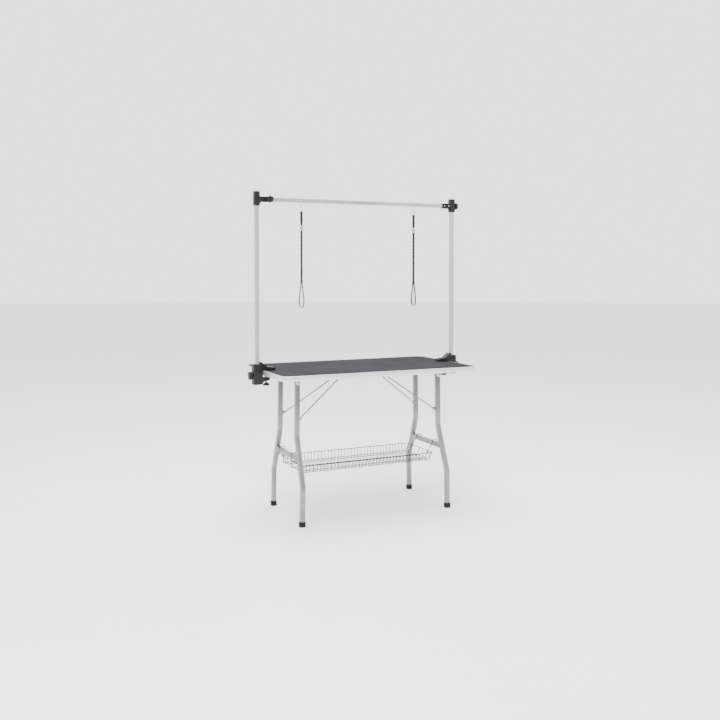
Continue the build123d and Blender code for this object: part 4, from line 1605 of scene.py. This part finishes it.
    def _ring(self) -> None:
        """Models the swivel ring and the collar that turns in the hook's barrel."""
        label = self.side.label
        node = f"{label}_swivel_ring"
        low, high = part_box(node)
        wire = 1.4 * MM
        major = (high.x - low.x) / 2 - wire
        Bench.clear()
        bpy.ops.mesh.primitive_torus_add(
            major_radius=major, minor_radius=wire, major_segments=56, minor_segments=14,
            location=(self.middle.x, self.middle.y, low.z + wire + major), rotation=(QUARTER_TURN, 0, 0),
        )
        bpy.ops.object.transform_apply(location=True, rotation=True, scale=True)
        ring = Bench.named(f"{label}_ring_wire")
        collar_foot = low.z + 2 * major + wire
        collar = turned(
            f"{label}_ring_collar",
            [(1.9 * MM, 0.0), (2.1 * MM, 0.6 * MM), (2.0 * MM, 1.3 * MM), (1.2 * MM, 1.5 * MM),
             (1.2 * MM, high.z - collar_foot)],
            (self.middle.x, self.middle.y, collar_foot), Vector((0, 0, 1)), 24,
        )
        piece = Bench.join([ring, collar], f"{label}_welded_ring")
        Bench.done(piece, Finishes.CHROME, f"{label}_noose", [node])


# ----------------------------------------------------------------------------- studio


@dataclass
class Studio:
    """The camera, the pale floor and the soft lights."""

    yaw: float = 25.0
    pitch: float = 2.0
    target: float = 1.081
    distance: float = 4.427
    lens: float = 42.4
    shift_up: float = -0.082
    shade: float = math.radians(5)

    def camera(self) -> None:
        """Sets the camera at the height and turn of a standing person."""
        turn, dip = math.radians(self.yaw), math.radians(self.pitch)
        ahead = Vector(
            (math.sin(turn) * math.cos(dip), math.cos(turn) * math.cos(dip), -math.sin(dip))
        )
        place = Vector((0, 0, self.target)) - ahead * self.distance
        bpy.ops.object.camera_add(location=place, rotation=(QUARTER_TURN - dip, 0, -turn))
        camera = bpy.context.object
        camera.name = "studio_camera"
        camera.data.lens = self.lens
        camera.data.shift_y = self.shift_up
        bpy.context.scene.camera = camera

    def floor(self) -> None:
        """Lays the pale floor."""
        Bench.clear()
        bpy.ops.mesh.primitive_circle_add(vertices=96, radius=30, fill_type="NGON")
        floor = Bench.named("studio_floor")
        sheet = NodeSheet("pale_floor")
        sheet.link(
            sheet.ramp(sheet.noise(1.5), [(0.3, (0.91, 0.91, 0.91)), (0.7, (0.94, 0.94, 0.94))]),
            sheet.shader.inputs["Base Color"],
        )
        sheet.shader.inputs["Roughness"].default_value = 0.85
        floor.data.materials.append(sheet.material)

    def lights(self) -> None:
        """Sets a soft sky and three large area lights."""
        world = bpy.data.worlds.new("soft_studio")
        world.use_nodes = True
        background = world.node_tree.nodes["Background"]
        links, nodes = world.node_tree.links, world.node_tree.nodes
        turn = nodes.new("ShaderNodeVectorMath")
        turn.operation = "DOT_PRODUCT"
        turn.inputs[1].default_value = (math.sin(self.shade), math.cos(self.shade), 0.5)
        links.new(nodes.new("ShaderNodeTexCoord").outputs["Generated"], turn.inputs[0])
        ramp = nodes.new("ShaderNodeValToRGB")
        links.new(turn.outputs["Value"], ramp.inputs["Fac"])
        for element, (position, grey) in zip(ramp.color_ramp.elements, ((0.0, 0.3), (0.55, 1.0))):
            element.position = position
            element.color = (grey, grey, grey, 1.0)
        links.new(ramp.outputs["Color"], background.inputs["Color"])
        background.inputs["Strength"].default_value = 2.4
        bpy.context.scene.world = world
        for name, place, size, power in (
            ("key", (-2.2, -3.0, 3.6), 2.5, 260.0),
            ("fill", (3.2, -2.4, 2.4), 2.5, 60.0),
            ("top", (0.0, 0.5, 4.2), 3.0, 160.0),
        ):
            bpy.ops.object.light_add(type="AREA", location=place)
            light = bpy.context.object
            light.name = f"{name}_light"
            light.data.size = size
            light.data.energy = power
            aim = Vector((0, 0, 0.9)) - Vector(place)
            light.rotation_euler = aim.to_track_quat("-Z", "Y").to_euler()
        bpy.ops.object.light_add(type="SUN", rotation=(math.radians(25), math.radians(-20), 0))
        sun = bpy.context.object
        sun.name = "overhead_light"
        sun.data.energy = 2.0
        sun.data.angle = math.radians(70)


def main() -> None:
    """Builds the studio and every sub-assembly in order, cords first."""
    logging.basicConfig(level=logging.INFO, format="%(name)s: %(message)s")
    Bench.clear()
    Studio().camera()
    for side in Side:
        Noose(side).build()
    TableTop().build()
    for side in Side:
        LegFrame(side).build()
        Brace(side).build()
        Clamp(side).build()
    Basket().build()
    Arm().build()
    Studio().floor()
    Studio().lights()


if __name__ == "__main__":
    main()
